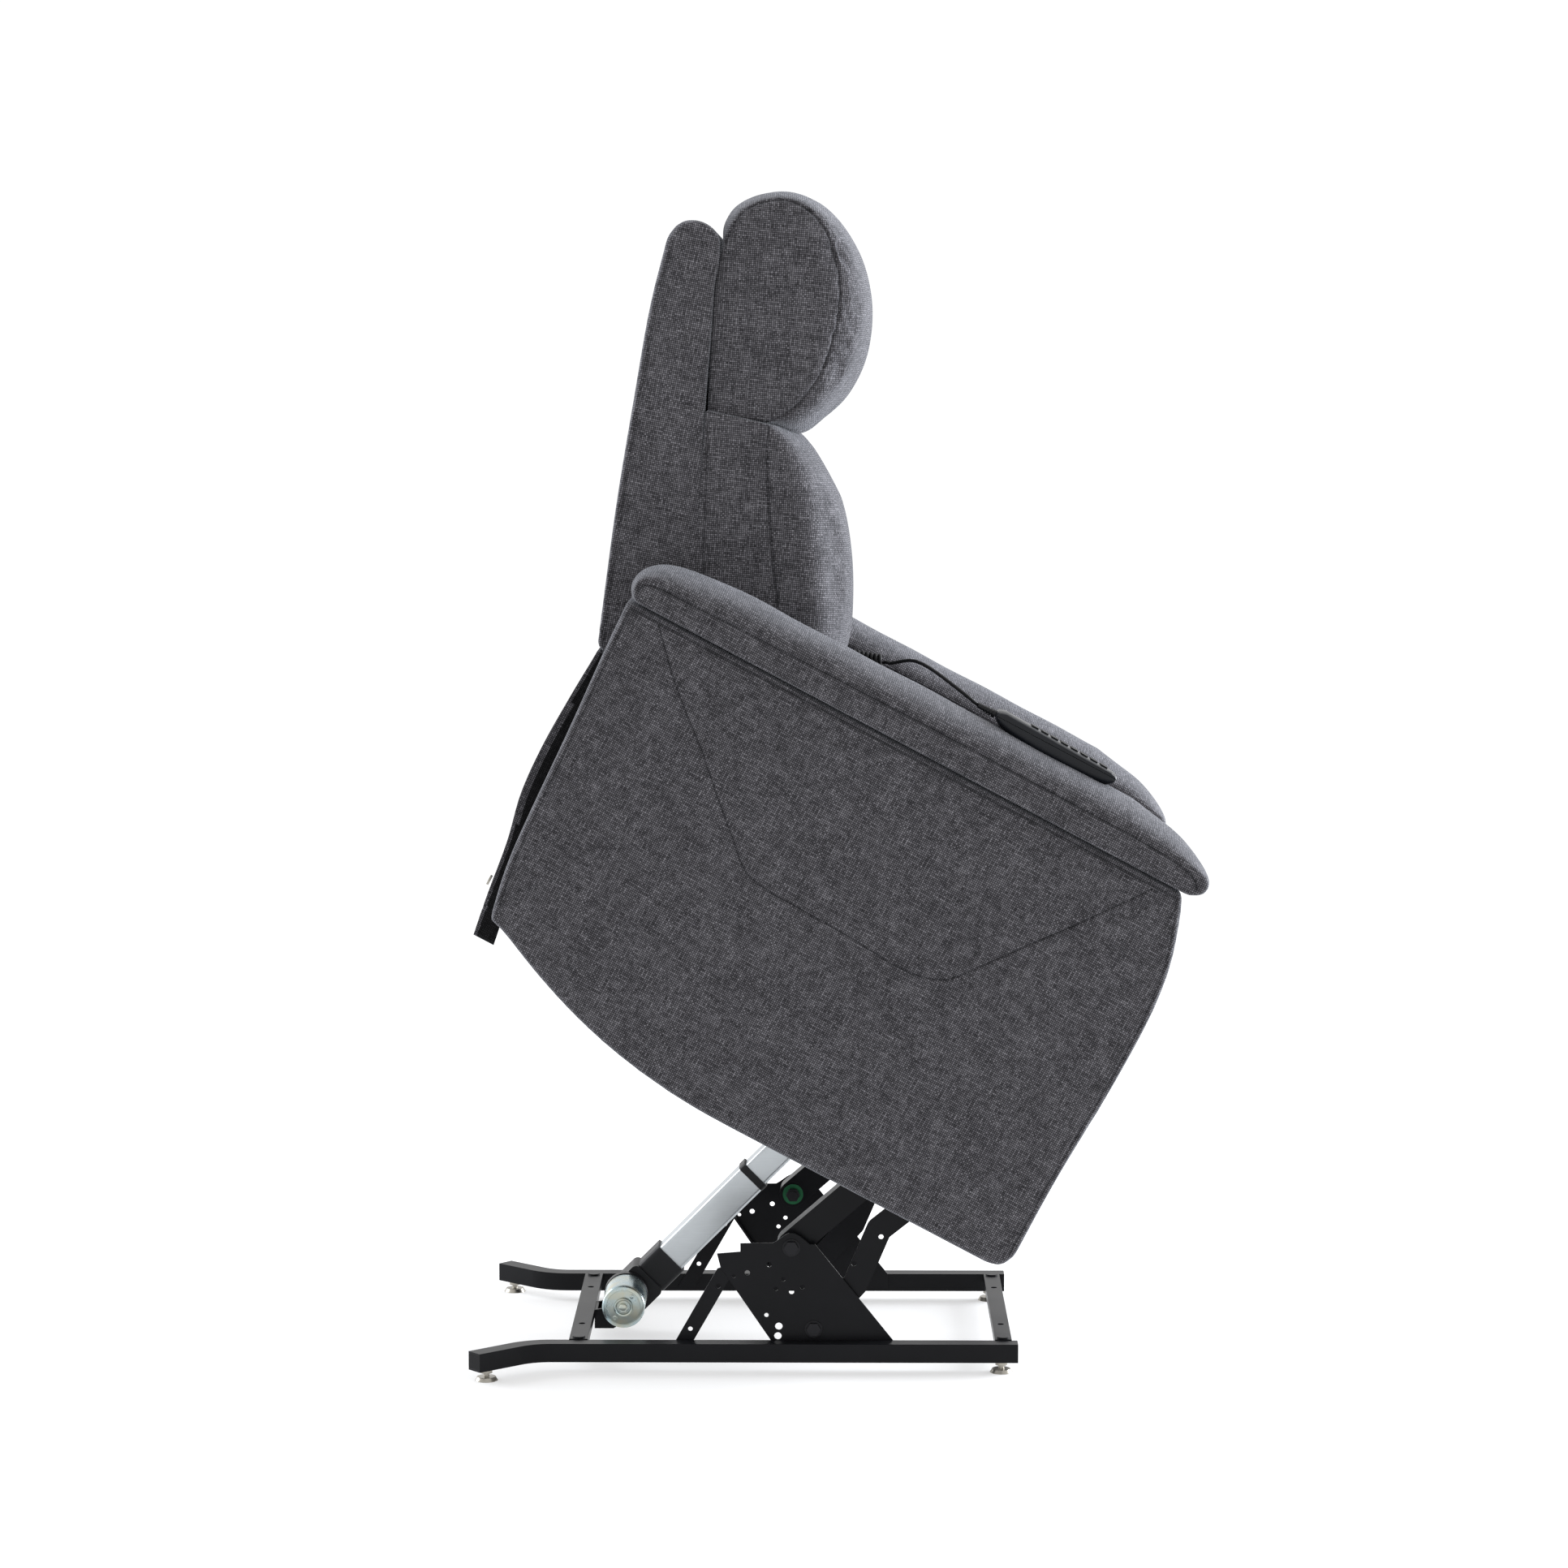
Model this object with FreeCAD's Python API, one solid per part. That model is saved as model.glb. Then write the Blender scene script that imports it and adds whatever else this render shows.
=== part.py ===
import FreeCAD, Part

import math
import os
from FreeCAD import Placement, Rotation, Vector

# Lift recliner chair, in its raised pose, in millimetres.
# +X is the way the sitter faces, +Y is the sitter's left and +Z is up.
# The base stands on Z = 0. The upholstered chair is drawn upright in its own frame, u forwards and
# w up from the lower front corner of the arm panels, and is then tilted forward onto the lift links.

# ---- driving dimensions -------------------------------------------------------------------------
TILT = 28.0                        # forward tilt of the raised chair, in degrees
CHAIR_CORNER = (221.4, 181.9)      # where the chair's lower front corner is when it is raised
CENTRE_SHIFT = 2.32                # moves everything so that the origin is central under the chair

RAIL = 25.0                        # square tube of the base rails
RAIL_WALL = 2.0
RAIL_Y = 215.0                     # centre of each straight rail
RAIL_BOTTOM = 15.0
RAIL_FRONT, RAIL_BEND = 246.0, -406.0
RAIL_RADIUS = 70.0                 # of the bend, on the rail's centre line
SPLAY_END = (-478.0, 278.0)        # centre of the splayed rail end, X and Y
FRONT_FOOT, REAR_FOOT = (224.0, 215.0), (-463.0, 265.0)
REAR_BAR_X, FRONT_BAR_X = (-356.5, -331.5), (216.0, 238.5)
BAR_TOP, BAR_DEPTH, BAR_SHEET = 41.0, 12.0, 2.5

PLATE = (199.5, 202.5)             # lift plates lie against the inner faces of the rails
PIVOT_A = (-57.7, 166.1)           # rear lift link on the base
PIVOT_B = (-27.7, 54.9)            # front lift link on the base
PIVOT_C = (-145.0, 98.0)           # rear lift link on the chair, in u and w
PIVOT_D = (-100.0, 37.1)           # front lift link on the chair, in u and w
REAR_LINK = (156.0, 188.0)         # channel of each rear lift link, inner and outer face
FRONT_LINK = (192.0, 196.0)
REAR_LINK_HALF, FRONT_LINK_HALF = 19.0, 17.0
BOLT_R, FIT = 6.0, 0.06            # pivot bolts and the radial clearance round them
BUSH_FLANGE = 2.0                  # how far a bush's flange stands off the inside of a rear lift link

ACTUATOR_FOOT = (-309.0, 28.0)     # lower pivot of the lift actuator
ACTUATOR_HEAD = (-250.0, 93.0)     # its upper pivot, in u and w
OPEN_CLEARANCE = 7.4               # radial room round the pivots where a closed linkage is opened

CHASSIS_PLATE = (212.0, 216.0)
ARM = (270.0, 410.0)               # inner and outer face of each arm
ARM_PAD = (262.0, 418.0)
ARM_SHEET = 5.0
ARM_PAD_TOP = 611.0
SEAT_HALF = 262.0
SEAT_TOP = 459.0
BACK_HALF = 262.0
PILLOW_HALF = 250.0

BACK_HINGE = (-640.0, 400.0)
BACK_LEVER_END = (-660.0, 310.0)
BACK_ACTUATOR_FOOT = (-285.0, 245.0)
BACK_ACTUATOR_Y = 90.0
HEAD_HINGE = (-800.0, 806.0)

LEG_HINGE = (-160.0, 300.0)        # drive tube of the leg rest
LEG_KNEE = (-100.0, 100.0)
BOARD_HINGE = (-45.0, 330.0)
LEG_LEVER_END = (-191.4, 248.9)
LEG_ACTUATOR_FOOT = (-540.0, 215.0)
LEG_ACTUATOR_Y = -90.0
LOWER_LEG_LINK, UPPER_LEG_LINK, BOARD_BRACKET = (219.0, 224.0), (226.0, 231.0), (233.0, 238.0)
LEG_LINK_HALF = 12.0

HANDSET_Y = -338.0
HANDSET_U = (-349.0, -172.0)
HANDSET_WIDTH = 46.0
KEY_COUNT, KEY_PITCH, FIRST_KEY_U = 8, 14.6, -296.0
KEY_SIZE = (10.2, 25.0)            # along u and y
CORD_D, CURL_D = 4.6, 20.0
# The handset's cord: u, y and w of its route, from the handset to the arm.
CORD_UPPER = [(-374, -338, 623.5), (-398, -334, 628), (-424, -322, 632), (-450, -302, 635),
              (-470, -277, 633), (-481, -257, 624.5), (-494, -248, 613)]
CORD_CURL = [(-494, -248, 613), (-551, -247, 596), (-602, -248, 571), (-628, -249, 527),
             (-621, -250, 492)]
CORD_LOWER = [(-621, -250, 492), (-617, -252, 478), (-613, -257, 466), (-611, -258, 452)]

CHAIR = Placement(Vector(CHAIR_CORNER[0], 0, CHAIR_CORNER[1]), Rotation(Vector(0, 1, 0), TILT))
NODES = {}


# ---- helpers ------------------------------------------------------------------------------------
def to_row(point):
    """A point of the chair's own frame, u and w, as X and Z of the raised chair."""
    moved = CHAIR.multVec(Vector(point[0], 0, point[1]))
    return moved.x, moved.z


def outline(runs, y):
    """A closed face in the plane Y = y. A run of two points is straight, a longer one a smooth curve."""
    edges = []
    for run in runs:
        points = [Vector(x, y, z) for x, z in run]
        if len(points) == 2:
            edges.append(Part.LineSegment(*points).toShape())
        else:
            curve = Part.BSplineCurve()
            curve.interpolate(points)
            edges.append(curve.toShape())
    return Part.Face(Part.Wire(edges))


def slab(runs, y0, y1):
    return outline(runs, y0).extrude(Vector(0, y1 - y0, 0))


def inset(runs, wall):
    """The same outline, about a wall's thickness smaller all round."""
    xs = [p[0] for run in runs for p in run]
    zs = [p[1] for run in runs for p in run]
    cx, cz = (min(xs) + max(xs)) / 2, (min(zs) + max(zs)) / 2
    kx, kz = 1 - 2 * wall / (max(xs) - min(xs)), 1 - 2 * wall / (max(zs) - min(zs))
    return [[(cx + kx * (x - cx), cz + kz * (z - cz)) for x, z in run] for run in runs]


def straight(points):
    """The runs of a polygon."""
    return [[a, b] for a, b in zip(points, points[1:] + points[:1])]


def polygon(points, y0, y1):
    return slab(straight(points), y0, y1)


def box(x, y, z):
    return Part.makeBox(x[1] - x[0], y[1] - y[0], z[1] - z[0], Vector(x[0], y[0], z[0]))


def pin(centre, y0, y1, radius):
    """A round bar along Y."""
    return Part.makeCylinder(radius, y1 - y0, Vector(centre[0], y0, centre[1]), Vector(0, 1, 0))


def hexagon(centre, y0, y1, radius):
    """A hexagonal bolt head or nut along Y, of that corner radius."""
    turn = [math.radians(60 * i) for i in range(6)]
    corners = [(centre[0] + radius * math.cos(a), centre[1] + radius * math.sin(a)) for a in turn]
    return polygon(corners, y0, y1)


def ring(centre, y0, y1, outer, inner):
    return pin(centre, y0, y1, outer).cut(pin(centre, y0 - 1, y1 + 1, inner))


def capsule(p, q, half, y0, y1):
    """A flat bar with round ends between two pivots."""
    along = Vector(q[0] - p[0], 0, q[1] - p[1]).normalize()
    side = Vector(-along.z, 0, along.x) * half
    a, b = Vector(p[0], y0, p[1]), Vector(q[0], y0, q[1])
    edges = [
        Part.LineSegment(a + side, b + side).toShape(),
        Part.Arc(b + side, b + along * half, b - side).toShape(),
        Part.LineSegment(b - side, a - side).toShape(),
        Part.Arc(a - side, a - along * half, a + side).toShape(),
    ]
    return Part.Face(Part.Wire(edges)).extrude(Vector(0, y1 - y0, 0))


def drill(shape, holes, y0, y1):
    """Cuts round holes along Y, given as (x, z, radius)."""
    for x, z, radius in holes:
        shape = shape.cut(pin((x, z), y0 - 1, y1 + 1, radius))
    return shape


def fuse(*shapes):
    joined = shapes[0].fuse(list(shapes[1:]))
    return joined.removeSplitter()


def mirrored(shape):
    return shape.mirror(Vector(0, 0, 0), Vector(0, 1, 0))


def pair(*shapes):
    """The shapes and their mirror images on the other side of the chair."""
    return list(shapes) + [mirrored(s) for s in shapes]


def rounded_box(x, y, z, radius, axis):
    """A box whose four edges along one axis are rounded."""
    body = box(x, y, z)
    index = "xyz".index(axis)
    long_edges = [e for e in body.Edges if abs(e.tangentAt(e.FirstParameter)[index]) > 0.99]
    return body.makeFillet(radius, long_edges)


def rounded_path(points):
    """Straight runs joined by tangent arcs, each as large as its two runs allow."""
    corners = [Vector(*p) for p in points]
    edges, radii, start = [], [], corners[0]
    for before, corner, after in zip(corners, corners[1:], corners[2:]):
        back, ahead = (before - corner), (after - corner)
        reach = 0.45 * min(back.Length, ahead.Length)
        back.normalize()
        ahead.normalize()
        half_turn = (math.pi - back.getAngle(ahead)) / 2
        radius = reach / math.tan(half_turn)
        radii.append(radius)
        enter, leave = corner + back * reach, corner + ahead * reach
        inward = (back + ahead).normalize()
        middle = corner + inward * (radius / math.cos(half_turn) - radius)
        edges.append(Part.LineSegment(start, enter).toShape())
        edges.append(Part.Arc(enter, middle, leave).toShape())
        start = leave
    edges.append(Part.LineSegment(start, corners[-1]).toShape())
    return Part.Wire(edges), radii


def tube_along(points, diameter, label):
    """A round cord or wire along a rounded path. Prints its arcs and its volume by section times length."""
    path, radii = rounded_path(points)
    first = Vector(*points[1]) - Vector(*points[0])
    circle = Part.Wire(Part.makeCircle(diameter / 2, Vector(*points[0]), first))
    solid = path.makePipeShell([circle], True, False)
    expected = math.pi * diameter ** 2 / 4 * path.Length
    print(label, "arc radii", [round(r) for r in radii], "length", round(path.Length, 1),
          "volume ratio", round(solid.Volume / expected, 3))
    return solid


def along_actuator(foot, head, y):
    """The placement of an actuator drawn along +X from its foot pivot."""
    angle = math.degrees(math.atan2(head[1] - foot[1], head[0] - foot[0]))
    return Placement(Vector(foot[0], y, foot[1]), Rotation(Vector(0, 1, 0), -angle))


def add(name, *solids, chair=False):
    """Stores a node's solids. Those drawn in the chair's own frame are tilted into place."""
    placed = []
    for solid in solids:
        solid = solid.copy()
        if chair:
            solid.Placement = CHAIR.multiply(solid.Placement)
        solid.translate(Vector(CENTRE_SHIFT, 0, 0))
        placed.append(solid)
    NODES[name] = placed[0] if len(placed) == 1 else Part.makeCompound(placed)


# ---- base ---------------------------------------------------------------------------------------
def rail_plan(half, z0, z1, end_gap):
    """One base rail, straight and then bent outwards, as a bar of that half width."""
    bend, end = Vector(RAIL_BEND, RAIL_Y, z0), Vector(SPLAY_END[0], SPLAY_END[1], z0)
    splay = (end - bend).normalize()
    turn = splay.getAngle(Vector(-1, 0, 0))
    centre = Vector(RAIL_BEND + RAIL_RADIUS * math.tan(turn / 2), RAIL_Y + RAIL_RADIUS, z0)
    across = Vector(math.sin(turn), math.cos(turn), 0) * half
    end = end + splay * end_gap
    edges = []
    tips = []
    for side in (-1, 1):
        radius = RAIL_RADIUS + side * half
        bent = [centre - Vector(math.sin(a), math.cos(a), 0) * radius for a in (0, turn / 2, turn)]
        front = Vector(RAIL_FRONT + end_gap, RAIL_Y - side * half, z0)
        back = end - across * side
        edges += [Part.LineSegment(front, bent[0]).toShape(), Part.Arc(*bent).toShape(),
                  Part.LineSegment(bent[2], back).toShape()]
        tips.append((front, back))
    edges += [Part.LineSegment(a, b).toShape() for a, b in zip(*tips)]
    wire = Part.Wire(Part.sortEdges(edges)[0])
    return Part.Face(wire).extrude(Vector(0, 0, z1 - z0))


def make_rails():
    top = RAIL_BOTTOM + RAIL
    outer = rail_plan(RAIL / 2, RAIL_BOTTOM, top, 0)
    bore = rail_plan(RAIL / 2 - RAIL_WALL, RAIL_BOTTOM + RAIL_WALL, top - RAIL_WALL, 5)
    plug_core = rail_plan(RAIL / 2 - RAIL_WALL, RAIL_BOTTOM + RAIL_WALL, top - RAIL_WALL, 0)
    middle = rail_plan(RAIL / 2, RAIL_BOTTOM, top, -8)
    plugs = plug_core.cut(middle)
    add("base_rails", *pair(outer.cut(bore), *plugs.Solids))


def make_crossbars():
    solids = []
    rail_face = RAIL_Y - RAIL / 2
    for x0, x1 in (REAR_BAR_X, FRONT_BAR_X):
        bar = box((x0, x1), (-rail_face, rail_face), (BAR_TOP - BAR_DEPTH, BAR_TOP))
        inside = box((x0 + BAR_SHEET, x1 - BAR_SHEET), (-rail_face - 1, rail_face + 1),
                     (BAR_TOP - BAR_DEPTH - 1, BAR_TOP - BAR_SHEET))
        bar = bar.cut(inside)
        centre = (x0 + x1) / 2
        for y in (-112.0, 112.0):
            bar = bar.cut(Part.makeCylinder(4.5, 2 * BAR_DEPTH, Vector(centre, y, BAR_TOP - BAR_DEPTH)))
        solids.append(bar)
        for y in (-192.0, 192.0):
            solids.append(Part.makeCylinder(8.5, 2.0, Vector(centre, y, BAR_TOP)))
    add("base_crossbars", *solids)


def make_feet():
    """Round levelling feet on threaded studs with lock nuts."""
    solids = []
    for x, y in (FRONT_FOOT, REAR_FOOT):
        disc = Part.makeCone(15.5, 12.5, 5.0, Vector(x, y, 0))
        stud = Part.makeCylinder(4.0, RAIL_BOTTOM - 5.0, Vector(x, y, 5.0))
        nut = Part.makeCylinder(8.0, 5.0, Vector(x, y, RAIL_BOTTOM - 5.0)).cut(stud)
        solids += [disc, stud, nut]
    add("levelling_feet", *pair(*solids))


def make_lift_plates():
    """Sheet plates that carry the lift links, with a folded rear edge."""
    rear_corner, rear_bottom = (-152.7, 138.8), (-85.5, 40.0)
    front_top, front_bottom = (-26.0, 170.8), (78.7, 40.0)
    y0, y1 = PLATE
    top = [(-82.5, 172.4), (-72.0, 179.0), (-58.1, 186.1), (-44.5, 180.5), (-33.6, 170.8)]
    runs = [[(-157.4, 157.7), (-126.1, 160.2)], [(-126.1, 160.2), (-126.1, 171.7)],
            [(-126.1, 171.7), (-82.5, 172.4)], top, [(-33.6, 170.8), front_top],
            [front_top, front_bottom], [front_bottom, (78.7, 20.0)], [(78.7, 20.0), (-85.5, 20.0)],
            [(-85.5, 20.0), rear_bottom], [rear_bottom, rear_corner], [rear_corner, (-157.4, 157.7)]]
    holes = [(-116.7, 131.8, 3.6), (-87.7, 142.8, 3.5), (-135.0, 127.0, 2.5), (-68.8, 122.6, 3.0),
             (-78.8, 109.8, 3.0), (-57.4, 105.8, 3.5), (-42.9, 112.2, 3.0), (-91.1, 73.9, 3.0),
             (-74.5, 58.7, 5.0), (-75.7, 45.5, 5.0),
             (*PIVOT_A, BOLT_R), (*PIVOT_B, BOLT_R)]
    plate = drill(slab(runs, y0, y1), holes, y0, y1)
    fold = 12.0
    thick = y1 - y0

    edge = Vector(rear_bottom[0] - rear_corner[0], rear_bottom[1] - rear_corner[1], 0)
    inward = Vector(-edge.y, edge.x, 0).normalize() * thick
    ends = [(rear_corner[0] + edge.x * share, rear_corner[1] + edge.y * share) for share in (0.07, 0.86)]
    folded = polygon(ends + [(x + inward.x, z + inward.y) for x, z in reversed(ends)], y0 - fold, y0)
    add("lift_plates", *pair(fuse(plate, folded)))


def make_rear_braces():
    y0, y1 = PLATE
    edge = [(-224.0, 20.0), (-200.0, 20.0), (-141.5, 122.3), (-152.7, 138.8), (-157.0, 137.3)]
    brace = polygon(edge, y0, y1)
    brace = drill(brace, [(-193.3, 55.0, 3.2), (-155.8, 113.3, 3.2)], y0, y1)
    add("rear_braces", *pair(brace))


def make_actuator_bracket():
    """Two ears on the rear crossbar and the pin that holds the lift actuator's foot."""
    x_back = REAR_BAR_X[1]
    edge = [(x_back, 14.0), (x_back, 40.0), (-318.0, 42.0), (-298.0, 38.0), (-296.0, 20.0), (-305.0, 14.0)]
    ears = []
    for y0, y1 in ((-27.0, -22.0), (22.0, 27.0)):
        ears.append(drill(polygon(edge, y0, y1), [(*ACTUATOR_FOOT, 5.0)], y0, y1))
    web = box((x_back, x_back + 4.0), (-22.0, 22.0), (14.0, 40.0))
    foot_pin = fuse(pin(ACTUATOR_FOOT, -27.0, 27.0, 5.0), hexagon(ACTUATOR_FOOT, -33.0, -27.0, 9.0),
                    hexagon(ACTUATOR_FOOT, 27.0, 33.0, 9.0))
    add("actuator_bracket", fuse(ears[0], web, ears[1]), foot_pin)


def make_lift_pivots():
    """Bolts and plastic bushes of the four lift pivots on the base."""
    inner_a, inner_b = REAR_LINK[0], FRONT_LINK[0]
    bolts = []
    for centre, inner in ((PIVOT_A, inner_a), (PIVOT_B, inner_b)):
        shank = pin(centre, inner - 11.0, PLATE[1], BOLT_R)
        head = hexagon(centre, PLATE[1], PLATE[1] + 6.0, 10.0)
        washer = pin(centre, PLATE[1], PLATE[1] + 1.2, 12.0)
        nut = hexagon(centre, inner - 9.5, inner - BUSH_FLANGE - 0.4, 10.0)
        bolts.append(fuse(shank, washer, head, nut))
    add("lift_pivot_bolts", *pair(*bolts))
    bushes = [ring(PIVOT_A, REAR_LINK[1] + 0.3, PLATE[0], 13.5, BOLT_R),
              ring(PIVOT_A, inner_a - BUSH_FLANGE, inner_a - 0.3, 14.5, BOLT_R),
              ring(PIVOT_B, FRONT_LINK[1] + 0.3, PLATE[0], 11.0, BOLT_R)]
    add("lift_pivot_bushes", *pair(*bushes))


# ---- lift linkage -------------------------------------------------------------------------------
def make_rear_lift_links():
    """Pressed channels, open below, and the torque tube that joins them at the upper pivot."""
    top = to_row(PIVOT_C)
    y0, y1 = REAR_LINK
    sheet = 3.0
    outer = capsule(PIVOT_A, top, REAR_LINK_HALF, y0, y1)
    inner = capsule(PIVOT_A, top, REAR_LINK_HALF - sheet, y0 + sheet, y1 - sheet)
    along = Vector(top[0] - PIVOT_A[0], 0, top[1] - PIVOT_A[1]).normalize()
    below = inner.copy()
    below.translate(Vector(along.z, 0, -along.x) * REAR_LINK_HALF)
    channel = outer.cut(inner).cut(below)
    channel = drill(channel, [(*PIVOT_A, BOLT_R + FIT), (*top, BOLT_R + FIT)], y0, y1)
    add("rear_lift_links", *pair(channel))
    add("rear_link_cross_tube", ring(top, -y0, y0, 15.0, 12.5))


def make_front_lift_links():
    """Dog-leg flat links and their tie rod. The upper hole is wide, where the linkage is opened."""
    head = to_row(PIVOT_D)
    y0, y1 = FRONT_LINK
    chain = [PIVOT_B, (28.0, 115.0), (60.0, 190.0), head]
    link = fuse(*[capsule(a, b, FRONT_LINK_HALF, y0, y1) for a, b in zip(chain, chain[1:])])
    holes = [(*PIVOT_B, BOLT_R + FIT), (*head, 4.5 + OPEN_CLEARANCE), (26.3, 142.8, 3.5), (62.7, 179.5, 3.5)]
    add("front_lift_links", *pair(drill(link, holes, y0, y1)))
    rod_centre = (124.0, 231.0)
    add("front_link_tie_rod", pin(rod_centre, -y0, y0, 8.0))


# ---- actuators ----------------------------------------------------------------------------------
def square_tube(s0, s1, side, wall, radius=5.0):
    """A square extrusion along +X, centred on the actuator's axis."""
    half = side / 2
    body = rounded_box((s0, s1), (-half, half), (-half, half), radius, "x")
    if wall:
        hole = rounded_box((s0 - 1, s1 + 1), (wall - half, half - wall), (wall - half, half - wall),
                           radius - wall, "x")
        body = body.cut(hole)
    return body


def make_lift_actuator():
    foot, head = ACTUATOR_FOOT, to_row(ACTUATOR_HEAD)
    length = math.dist(foot, head)
    lay = along_actuator(foot, head, 0)

    def place(name, *solids):
        for solid in solids:
            solid.Placement = lay.multiply(solid.Placement)
        add(name, *solids)

    lug = capsule((0.0, 0.0), (36.0, 0.0), 14.0, -21.5, 21.5)
    casing = rounded_box((18.0, 80.0), (-30.0, 28.0), (-24.0, 30.0), 8.0, "y")
    neck = rounded_box((78.0, 118.0), (-25.0, 25.0), (-25.0, 25.0), 7.0, "x")
    socket = square_tube(112.0, 119.0, 43.0, 0)
    gearbox = fuse(lug, casing, neck).cut(pin((0, 0), -40, 40, 5.0 + FIT)).cut(socket)
    place("lift_gearbox", gearbox)

    motor_axis = (42.0, 11.0)
    can = pin(motor_axis, -116.0, -44.0, 29.0)
    band = pin(motor_axis, -44.0, -30.0, 30.0)
    bell = Part.makeCone(26.0, 29.0, 5.0, Vector(motor_axis[0], -121.0, motor_axis[1]), Vector(0, 1, 0))
    boss = pin(motor_axis, -124.5, -121.0, 9.5)
    nub = hexagon(motor_axis, -128.0, -124.5, 6.0)
    place("lift_motor", fuse(can, band, bell, boss, nub))

    place("lift_outer_tube", square_tube(112.0, 274.0, 43.0, 2.0))
    place("lift_tube_collar", square_tube(274.0, 284.0, 45.0, 3.0, 6.0))
    tube = square_tube(200.0, length - 26.0, 38.6, 2.4)
    plug = square_tube(length - 34.0, length - 26.0, 38.6 - 4.8, 0, 2.6)
    eye = capsule((length - 30.0, 0), (length, 0), 17.0, -12.0, 12.0)
    eye = eye.cut(pin((length, 0), -13, 13, 4.8 + OPEN_CLEARANCE)).cut(tube)
    place("lift_inner_tube", fuse(tube, plug, eye))


def make_hidden_actuator(name, foot, head, y, motor_side, fork_gap):
    """A slim actuator: a housing with its motor across it, and a rod with a forked end at the lever."""
    length = math.dist(foot, head)
    lay = along_actuator(foot, head, y)
    lug = capsule((0.0, 0.0), (24.0, 0.0), 11.0, -9.0, 9.0)
    casing = rounded_box((14.0, 76.0), (-24.0, 24.0), (-22.0, 22.0), 7.0, "x")
    outer = Part.makeCylinder(15.0, length - 186.0, Vector(76.0, 0, 0), Vector(1, 0, 0))
    bore = Part.makeCylinder(10.2, length - 120.0, Vector(60.0, 0, 0), Vector(1, 0, 0))
    motor_y = (24.0, 106.0) if motor_side > 0 else (-106.0, -24.0)
    motor = pin((45.0, 0.0), *motor_y, 24.0)
    housing = fuse(lug, casing, outer, motor).cut(bore).cut(pin((0, 0), -12, 12, 5.0 + FIT))
    rod = Part.makeCylinder(10.0, length - 156.0, Vector(126.0, 0, 0), Vector(1, 0, 0))
    yoke = box((length - 32.0, length - 24.0), (-fork_gap - 6.0, fork_gap + 6.0), (-11.0, 11.0))
    fork_out = fork_gap + 6.0
    tines = [capsule((length - 26.0, 0), (length, 0), 11.0, *faces)
             for faces in ((-fork_out, -fork_gap), (fork_gap, fork_out))]
    cross_pin = pin((length, 0), -fork_out, fork_out, 4.0)
    forked = fuse(rod, yoke, *tines, cross_pin)
    for node, solid in ((name + "_housing", housing), (name + "_rod", forked)):
        solid.Placement = lay.multiply(solid.Placement)
        add(node, solid, chair=True)


# ---- chassis under the seat ---------------------------------------------------------------------
def make_chassis_plates():
    y0, y1 = CHASSIS_PLATE
    hinge_u, hinge_w = BACK_HINGE
    edge = [(-665.0, 240.0), (-560.0, 180.0), (-300.0, 108.0), (-170.0, 75.0), (-120.0, 20.0),
            (-80.0, 20.0), (-80.0, 55.0), (-120.0, 130.0), (-70.0, 280.0), (-70.0, 330.0),
            (-606.0, 330.0), (hinge_u + 22.0, hinge_w), (hinge_u, hinge_w + 22.0), (hinge_u - 22.0, hinge_w)]
    plate = polygon(edge, y0, y1)
    holes = [(*BACK_HINGE, 12.0 + FIT), (*LEG_HINGE, 12.0 + FIT)]
    plate = drill(plate, holes, y0, y1)
    lift_pin = fuse(pin(PIVOT_C, REAR_LINK[0] - 4.0, y1 + 3.0, BOLT_R), hexagon(PIVOT_C, y1, y1 + 5.0, 10.0),
                    pin(PIVOT_C, REAR_LINK[1] + 0.3, y0, 11.0))
    open_pin = fuse(pin(PIVOT_D, FRONT_LINK[0] - 4.0, y1 + 3.0, 4.5), hexagon(PIVOT_D, y1, y1 + 5.0, 8.0),
                    pin(PIVOT_D, FRONT_LINK[1] + 1.0, y0, 9.0))
    spacers = [pin(spot, y1, ARM[0], 10.0) for spot in ((-300.0, 305.0), (-540.0, 305.0))]
    add("chassis_plates", *pair(fuse(plate, lift_pin, open_pin, *spacers)), chair=True)


def lugs(tube_centre, pivot, y_centre, gap, radius):
    """A pair of ears from a cross tube to a pivot."""
    return [capsule(tube_centre, pivot, radius, y_centre + s * gap + min(s * 5.0, 0),
                    y_centre + s * gap + max(s * 5.0, 0)) for s in (-1, 1)]


def make_cross_tubes():
    """Tubes between the chassis plates, with the ears and pins that the three actuators hang on."""
    inner = CHASSIS_PLATE[0]
    lift_tube, back_tube, leg_tube = (-235.0, 152.0), (-266.0, 286.0), (-574.0, 212.0)
    units = []
    for centre, pivot, y, gap, radius, pin_radius in (
            (lift_tube, ACTUATOR_HEAD, 0.0, 14.0, 13.0, 4.8),
            (back_tube, BACK_ACTUATOR_FOOT, BACK_ACTUATOR_Y, 10.0, 11.0, 5.0),
            (leg_tube, LEG_ACTUATOR_FOOT, LEG_ACTUATOR_Y, 10.0, 11.0, 5.0)):
        tube = pin(centre, -inner, inner, 13.0)
        bore = pin(centre, -inner - 1, inner + 1, 11.0)
        ears = lugs(centre, pivot, y, gap, radius)
        pivot_pin = pin(pivot, y - gap - 8.0, y + gap + 8.0, pin_radius)
        units.append(fuse(tube, *ears).cut(bore).fuse(pivot_pin).removeSplitter())
    add("chassis_cross_tubes", *units, chair=True)


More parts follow.
